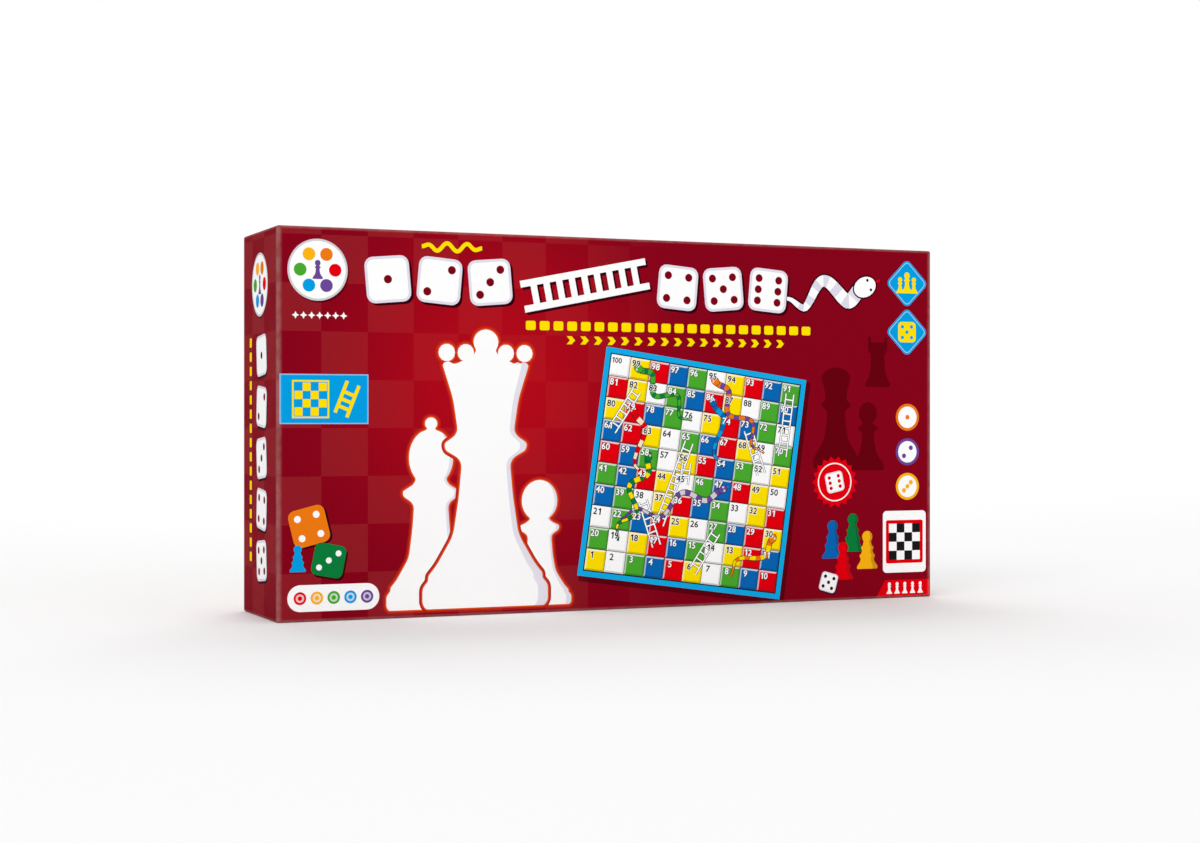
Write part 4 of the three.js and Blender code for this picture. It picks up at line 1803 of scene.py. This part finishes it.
@dataclass
class ChessSet:
    """Both sides of chess pieces, each piece moulded in one colour."""

    cross_bar: float = 2.2
    cross_span: float = 6.4
    crenel: float = 2.6
    slit: float = 1.2
    head_thickness: float = 7.0
    eye: float = 0.9
    coronet_beads: int = 9
    # Heights as shares of the piece's height
    cross_foot: float = 0.84
    cross_height: float = 0.93
    crenel_height: float = 0.881
    slit_height: float = 0.8
    eye_height: float = 0.8
    coronet_height: float = 0.892
    # Places and sizes as shares of the foot's width, and the eye's place as a share of half the head's
    slit_across: float = 0.06
    eye_across: float = 0.13
    eye_depth: float = 0.97
    coronet_radius: float = 0.3
    bead_radius: float = 0.07

    def build(self) -> None:
        """Builds each kind once and sets a copy of it on every node of that kind."""
        shapes = {
            "rook": self.rook(), "knight": self.knight(), "bishop": self.bishop(), "queen": self.queen(),
            "king": self.king(), "pawn": Kind.PAWN.value.mesh(),
        }
        for node in sorted(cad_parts):
            colour, kind, *_ = node.split("_") + [""]
            if colour in ("dark", "light") and kind in shapes:
                set_piece(node, shapes[kind], MOULDED[colour], f"{colour}_plastic")

    def rook(self) -> Mesh:
        """Builds the rook: a turned tower with four gaps in its rim.

        Returns:
            The mesh, with its foot at the origin.
        """
        size = Kind.ROOK.value
        tower = size.mesh()
        floor = size.height * self.crenel_height
        for width, depth in ((size.base, self.crenel), (self.crenel, size.base)):
            gap = block(width, depth, size.height)
            gap.transform(Matrix.Translation((0, 0, (floor + size.height / 2) * MM)))
            tower = combined(tower, gap, "DIFFERENCE")
        return tower

    def bishop(self) -> Mesh:
        """Builds the bishop, with the slanted slit in its mitre.

        Returns:
            The mesh, with its foot at the origin.
        """
        size = Kind.BISHOP.value
        slit = block(size.base / 2, size.base, self.slit)
        slit.transform(Matrix.Translation((size.base / 4 * MM, 0, 0)))
        slit.transform(Matrix.Rotation(-math.pi / 4, 4, "Y"))
        spot = Vector((size.base * self.slit_across, 0, size.height * self.slit_height)) * MM
        slit.transform(Matrix.Translation(spot))
        return combined(size.mesh(), slit, "DIFFERENCE")

    def queen(self) -> Mesh:
        """Builds the queen, with a ring of beads for a coronet.

        Returns:
            The mesh, with its foot at the origin.
        """
        size = Kind.QUEEN.value
        shape = NodeShape("coronet", Ring="Float", Height="Float", Bead="Float", Count="Int")
        add, inputs = shape.add, shape.inputs
        circle_points = add("GeometryNodeMeshCircle", {"Vertices": inputs["Count"], "Radius": inputs["Ring"]})
        bead = add("GeometryNodeMeshIcoSphere", {"Radius": inputs["Bead"], "Subdivisions": 2})
        beads = add("GeometryNodeInstanceOnPoints", {"Points": circle_points, "Instance": bead})
        lift = add("ShaderNodeCombineXYZ", {"Z": inputs["Height"]})
        raised = add("GeometryNodeTransform", {"Geometry": beads, "Translation": lift})
        width, height = size.base * MM, size.height * MM
        coronet = shape.realised(
            raised, bpy.data.meshes.new("no_source"), Ring=width * self.coronet_radius,
            Height=height * self.coronet_height, Bead=width * self.bead_radius, Count=self.coronet_beads,
            Finish=MOULDED["dark"].material(),
        )
        return joined(size.mesh(), coronet)

    def king(self) -> Mesh:
        """Builds the king, with a cross on its crown.

        Returns:
            The mesh, with its foot at the origin.
        """
        size = Kind.KING.value
        half, span = self.cross_bar / 2, self.cross_span / 2
        waist = half * 0.62
        arm = size.height * self.cross_height
        right = [
            complex(half * 0.9, size.height * self.cross_foot), complex(waist, arm - half),
            complex(span, arm - half * 1.1), complex(span, arm + half * 1.1),
            complex(waist, arm + half), complex(half, size.height),
        ]
        outline = right + [-spot.conjugate() for spot in reversed(right)]
        cross = prism(outline, half, [(1.0, half * 0.25), (0.75, 0.0)])
        return combined(size.mesh(), cross, "UNION")

    def knight(self) -> Mesh:
        """Builds the knight: a horse's head with a cut mane on a turned foot.

        Returns:
            The mesh, with its foot at the origin.
        """
        size = Kind.KNIGHT.value
        # Each stretch of the head from the back of the neck: where it starts, what it leans to, and its steps
        stretches = (
            (-0.56 + 0.26j, -0.86 + 0.68j, 30), (-0.18 + 0.93j, -0.08 + 0.97j, 4),
            (0.02 + 1j, 0.1 + 0.95j, 4), (0.18 + 0.9j, 0.5 + 0.86j, 8), (0.86 + 0.68j, 0.96 + 0.6j, 6),
            (0.76 + 0.57j, 0.3 + 0.64j, 8), (0.14 + 0.55j, 0.56 + 0.44j, 8), (0.56 + 0.26j, 0j, 0),
        )
        points = []
        for (start, middle, steps), (end, _, _) in zip(stretches, stretches[1:]):
            share = np.arange(steps) / steps
            curve = bend(start, middle, end, share)
            if not points:
                # The mane: notches that cut a little into the neck
                curve = curve + 0.045 * (1 - np.abs(np.sin(6 * math.pi * share))) * (1 - share * 0.4)
            points.extend(curve)
        outline = [complex(p.real * size.base / 2, p.imag * size.height) for p in reversed(points)]
        half = self.head_thickness / 2
        head = prism(outline, half, [(1.0, 0.26), (0.96, 0.08), (0.88, 0.0)])
        whole = combined(size.mesh(), head, "UNION")
        across, up = size.base * self.eye_across, size.height * self.eye_height
        with editing(whole) as work:
            for side in (-1, 1):
                matrix = Matrix.Translation(Vector((across, side * half * self.eye_depth, up)) * MM)
                bmesh.ops.create_icosphere(work, subdivisions=2, radius=self.eye * MM, matrix=matrix)
        return whole


@dataclass
class TrackPieces:
    """What snakes and ladders is played with: four counters and a die."""

    die_round: float = 1.6
    pip_radius: float = 1.25
    pip_rise: float = 0.12
    pip_spread: float = 3.4

    def build(self) -> None:
        """Builds the counters and the die."""
        shape = Kind.COUNTER.value.mesh(rounding=0.6)
        for colour in ("red", "yellow", "green", "blue"):
            set_piece(f"{colour}_counter", shape, MOULDED[colour], f"{colour}_plastic")
        self.die()

    def die(self) -> None:
        """Builds the die: a cube with round edges, and a shallow lens of paint for each pip."""
        low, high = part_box("die")
        middle, half = (low + high) / 2, (high.x - low.x) / 2
        cube = bpy.data.meshes.new("die_cube")
        with editing(cube) as work:
            bmesh.ops.create_cube(work, size=2 * half, matrix=Matrix.Translation(middle))
            bmesh.ops.bevel(
                work, geom=work.edges[:], offset=self.die_round * MM, segments=5, profile=0.5, affect="EDGES"
            )
        shape = NodeShape("pips", Radius="Float", Rise="Float")
        add, inputs = shape.add, shape.inputs
        facing = add("GeometryNodeInputNamedAttribute", {"Name": "facing"}, data_type="FLOAT_VECTOR")
        turn = add("FunctionNodeAlignRotationToVector", {"Vector": facing}, axis="Z")
        ball = add("GeometryNodeMeshUVSphere", {"Segments": 20, "Rings": 10, "Radius": inputs["Radius"]})
        share = add("ShaderNodeMath", [inputs["Rise"], inputs["Radius"]], operation="DIVIDE")
        flat = add("ShaderNodeCombineXYZ", [1.0, 1.0, share])
        lens = add("GeometryNodeTransform", {"Geometry": ball, "Scale": flat})
        parts = {"Points": inputs["Geometry"], "Instance": lens, "Rotation": turn}
        lenses = add("GeometryNodeInstanceOnPoints", parts)
        pips = shape.realised(
            lenses, self.pip_points(middle, half), Radius=self.pip_radius * MM, Rise=self.pip_rise * MM,
            Finish=PIP_PAINT.material(),
        )
        mesh = joined(cube, pips)
        stand_in("die_with_pips", mesh, "tray", "die_plastic", "die", DIE_ACRYLIC, PIP_PAINT)
        painted = np.arange(len(mesh.polygons)) >= len(cube.polygons)
        mesh.polygons.foreach_set("material_index", painted.astype(np.int32))
        mesh.shade_smooth()
        mesh.set_sharp_from_angle(angle=SMOOTH_ANGLE)

    def pip_points(self, middle: Vector, half: float) -> Mesh:
        """Lists the middles of the pips, with the way that each faces: opposite faces add up to seven.

        Args:
            middle: the middle of the die.
            half: half its side.

        Returns:
            A mesh of loose points with the attribute facing.
        """
        spots, facing = [], []
        for count, normal in ((1, Vector((0, -1, 0))), (2, Vector((1, 0, 0))), (3, Vector((0, 0, 1)))):
            for number, way in ((count, normal), (7 - count, -normal)):
                across = Vector((way.y, way.z, way.x))
                up = way.cross(across)
                for place in pip_places(number):
                    offset = (across * place.real + up * place.imag) * self.pip_spread * MM
                    spots.append(middle + way * half + offset)
                    facing.extend(way)
        mesh = bpy.data.meshes.new("pip_points")
        mesh.from_pydata(spots, [], [])
        mesh.attributes.new("facing", "FLOAT_VECTOR", "POINT").data.foreach_set("vector", facing)
        return mesh


@dataclass
class PieceTray:
    """The tray: one sheet of plastic drawn over a mould, with soft edges and wells for the pieces."""

    sheet: float = 0.8
    rib: float = 3.0
    officers_length: float = 154.4
    officers_row: float = 43.0
    pawns_row: float = 28.5
    seat: float = 0.3
    deck_round: float = 1.0
    well_round: float = 3.0
    floor_round: float = 0.9
    skirt_round: float = 1.6

    def wells(self, length: float, height: float) -> Iterator[tuple[complex, complex]]:
        """Lays out the wells: the pawns between two rows of officers, with a small well beside each row.

        Args:
            length: the length of the tray.
            height: its height as the box stands.

        Yields:
            The lower left corner and the size of each well, from the tray's lower left corner.
        """
        low = (height - 2 * self.officers_row - self.pawns_row - 2 * self.rib) / 2
        pawns = low + self.officers_row + self.rib
        whole = length - 2 * self.rib
        yield complex(self.rib, pawns), complex(whole, self.pawns_row)
        spare = self.officers_length + self.rib
        for row in (low, pawns + self.pawns_row + self.rib):
            yield complex(self.rib, row), complex(self.officers_length, self.officers_row)
            yield complex(self.rib + spare, row), complex(whole - spare, self.officers_row)

    def build(self) -> None:
        """Builds the deck, its skirt and the wells as one surface, then gives it the sheet's thickness."""
        low, _, (length, depth, height) = node_box("piece_tray")
        floor = node_box("light_king")[1][1] + self.seat - low[1]
        edge, soft, inner = self.skirt_round, self.deck_round, self.floor_round
        places = [(edge - edge * s, edge - edge * c) for s, c in QUARTER] + [(0.0, depth)]
        size = complex(length, height)
        skirt = [ring(0j, size, self.well_round + 1, inset, deep) for inset, deep in places]
        places = [(-soft + soft * s, soft - soft * c) for s, c in QUARTER]
        places += [(inner - inner * c, floor - inner + inner * s) for s, c in QUARTER]
        wells = [
            [ring(corner, room, self.well_round, inset, deep) for inset, deep in places]
            for corner, room in self.wells(length, height)
        ]
        faces = FaceList()
        faces.skin(skirt[::-1])
        for well in wells:
            faces.skin(well)
            faces.add(well[-1])
        # The flat deck is what lies inside the skirt and outside the wells
        deck = Artwork(0, 0, length, height)
        rings = (skirt[0], *(well[0] for well in wells))
        Pen(deck).fill(Ink.WHITE, *(np.array([complex(x, z) for x, _, z in loop]) for loop in rings))
        for corners, ink in deck.triangles():
            if ink != BARE:
                faces.add([(spot.real, 0.0, spot.imag) for spot in corners])
        surface = faces.mesh("formed_sheet")
        surface.transform(Matrix.Translation(Vector(low) * MM))
        mesh = modified(surface, "SOLIDIFY", thickness=self.sheet * MM, offset=-1)
        stand_in("formed_piece_tray", mesh, "tray", "tray_plastic", "piece_tray", TRAY_SHEET)


@dataclass
class RuleSheet:
    """The rules: one sheet of paper, folded twice, with its diagrams on the outside."""

    paper: float = 0.26
    layers: int = 3
    bend_steps: int = 6

    def build(self) -> None:
        """Builds the folded sheet and prints its front."""
        low, _, (length, depth, height) = node_box("rule_sheet")
        half = self.paper / 2
        gap = (depth - self.paper) / (self.layers - 1)
        reach = gap / 2
        path: list[complex] = []
        for layer in range(self.layers):
            way = (-1) ** layer
            ends = [complex(x, layer * gap) for x in (reach + half, length - reach - half)][::way]
            path += ends
            if layer < self.layers - 1:
                angles = np.linspace(-math.pi / 2, math.pi / 2, self.bend_steps + 1)[1:-1]
                path += [ends[1] + complex(way * math.cos(a), 1 + math.sin(a)) * reach for a in angles]
        section = ribbon(np.array(path), half)

        def place(spot: complex, up: float) -> Spot:
            """Puts a point of the section in space at a height."""
            return low[0] + spot.real, low[1] + half + spot.imag, low[2] + up

        faces = FaceList()
        # The faces of the first stretch, which is the front, come from the print
        faces.band(section, place, height, start=1)
        art = Artwork(section[0].real, 0, section[1].real, height)
        self.draw(Pen(art, complex(art.left, 0)), height)
        for spots, ink in art.triangles():
            faces.add([place(complex(spot.real, -half), spot.imag) for spot in spots], ink)
        mesh = faces.mesh("rule_sheet", outwards=True)
        stand_in("folded_rule_sheet", mesh, "tray", "plain_paper", "rule_sheet", RULE_PAPER)

    def draw(self, pen: Pen, height: float) -> None:
        """Draws the front of the folded sheet: two diagrams and a few pieces.

        Args:
            pen: the pen, at the front's lower left corner.
            height: the height of the sheet.
        """
        side = height * 0.68
        for across, squares, ink in ((6, 8, Ink.GREY), (8 + side, 10, Ink.MIST)):
            board = pen.at(complex(across + side / 2, height * 0.16 + side / 2))
            board.fill(Ink.GREY, square(side + 0.8), square(side))
            board.chequers(squares, side / squares, ink)
        for i, kind in enumerate((Kind.KING, Kind.QUEEN, Kind.BISHOP, Kind.PAWN)):
            spot = complex(15 + 2 * side + i % 2 * 11, height * (0.56 if i < 2 else 0.14))
            pen.at(spot).figure(kind, height * 0.3, Ink.GREY)


@dataclass
class Studio:
    """The plain pale floor, the soft light and the camera at the photograph's viewing angle."""

    camera_place: Spot = (-309.1, -707.4, 70.3)
    camera_turn: float = -23.587
    focal_pixels: float = 1997.3
    sensor: float = 36.0
    white: str = "#ffffff"
    floor_tone: str = "#fbfbfb"
    floor_size: float = 12000.0
    floor_fade: tuple[float, float] = (500.0, 1600.0)
    ambient: float = 0.62
    lamp_aim: Spot = (0.0, 0.0, 70.0)

    def build(self) -> None:
        """Builds the stage and sets the scene's camera."""
        bpy.context.scene.view_settings.view_transform = "Standard"
        self.backdrop()
        self.floor()
        self.lamps()
        self.camera()

    def seen_directly(self, add: Adder) -> Socket:
        """Finds the rays that show the backdrop itself: those of the camera, of gloss and through glass.

        Args:
            add: adds a node to the tree that asks.

        Returns:
            1 for such rays, and 0 for the others.
        """
        rays = add("ShaderNodeLightPath").node.outputs
        first = add("ShaderNodeMath", [rays["Is Camera Ray"], rays["Is Glossy Ray"]], operation="MAXIMUM")
        return add("ShaderNodeMath", [first, rays["Is Transmission Ray"]], operation="MAXIMUM")

    def backdrop(self) -> None:
        """Makes the white backdrop, which lights the object more softly than it looks."""
        world = bpy.data.worlds.new("white_studio")
        bpy.context.scene.world = world
        add = cleared(world)
        white = linear(self.white)
        lights = [add("ShaderNodeBackground", [white, strength]) for strength in (self.ambient, 1.0)]
        add("ShaderNodeOutputWorld", [add("ShaderNodeMixShader", [self.seen_directly(add), *lights])])

    def floor(self) -> None:
        """Makes the floor: matt and pale round the object, and lost in the white backdrop further out."""
        material = bpy.data.materials.new("pale_studio_floor")
        add = cleared(material)
        place = add("ShaderNodeTexCoord", out="Object")
        away = add("ShaderNodeVectorMath", [place], "Value", operation="LENGTH")
        edges = [edge * MM for edge in self.floor_fade]
        far = add("ShaderNodeMapRange", [away, *edges, 0.0, 1.0], interpolation_type="SMOOTHSTEP")
        lost = add("ShaderNodeMath", [far, self.seen_directly(add)], operation="MULTIPLY")
        matt = add("ShaderNodeBsdfDiffuse", [linear(self.floor_tone)])
        glow = add("ShaderNodeEmission", [linear(self.white), 1.0])
        add("ShaderNodeOutputMaterial", [add("ShaderNodeMixShader", [lost, matt, glow])])
        faces = FaceList()
        faces.add([(spot.real, spot.imag, 0.0) for spot in square(self.floor_size)])
        mesh = faces.mesh("studio_floor")
        mesh.materials.append(material)
        working_object(mesh)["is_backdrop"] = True

    def lamps(self) -> None:
        """Hangs the soft lamps: a key from the upper left, a fill from the front and one from behind."""
        # The place and the width of each lamp, and its power in watts
        for name, place, width, power in (
            ("key_softbox", (-1500, -1500, 1800), 1600, 17.0),
            ("fill_softbox", (900, -2400, 900), 2000, 11.0),
            ("rear_softbox", (500, 1700, 2100), 1800, 24.0),
        ):
            lamp = bpy.data.lights.new(name, "AREA")
            lamp.size = width * MM
            lamp.energy = power
            holder = working_object(lamp)
            holder.location = Vector(place) * MM
            aim = Vector(self.lamp_aim) * MM - holder.location
            holder.rotation_euler = aim.to_track_quat("-Z", "Y").to_euler()

    def camera(self) -> None:
        """Places the camera where the photograph was taken from."""
        lens = bpy.data.cameras.new("photo_camera")
        lens.sensor_fit = "HORIZONTAL"
        lens.sensor_width = self.sensor
        lens.lens = self.focal_pixels * self.sensor / PHOTO_WIDTH
        lens.clip_start = 0.01
        holder = working_object(lens)
        holder.location = Vector(self.camera_place) * MM
        holder.rotation_euler = (math.pi / 2, 0, math.radians(self.camera_turn))
        bpy.context.scene.camera = holder


def write_sizes() -> None:
    """Works out the box of the CAD model and that of the finished looks, and keeps neither."""
    boxes = {"cad": CAD_BOX, "visual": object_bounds()}
    {name: [list(corner) for corner in box] for name, box in boxes.items()}


def main() -> None:
    """Builds the game piece by piece, and the studio round it."""
    logging.basicConfig(level=logging.INFO, format="%(message)s")
    Studio().build()
    BoxHalf("lid", CoverArt(), faces_back=False).build()
    BoxHalf("base", BackArt(), faces_back=True).build()
    for part in (FoldingBoard(), PieceTray(), ChessSet(), TrackPieces(), RuleSheet()):
        part.build()
    write_sizes()


if __name__ == "__main__":
    main()
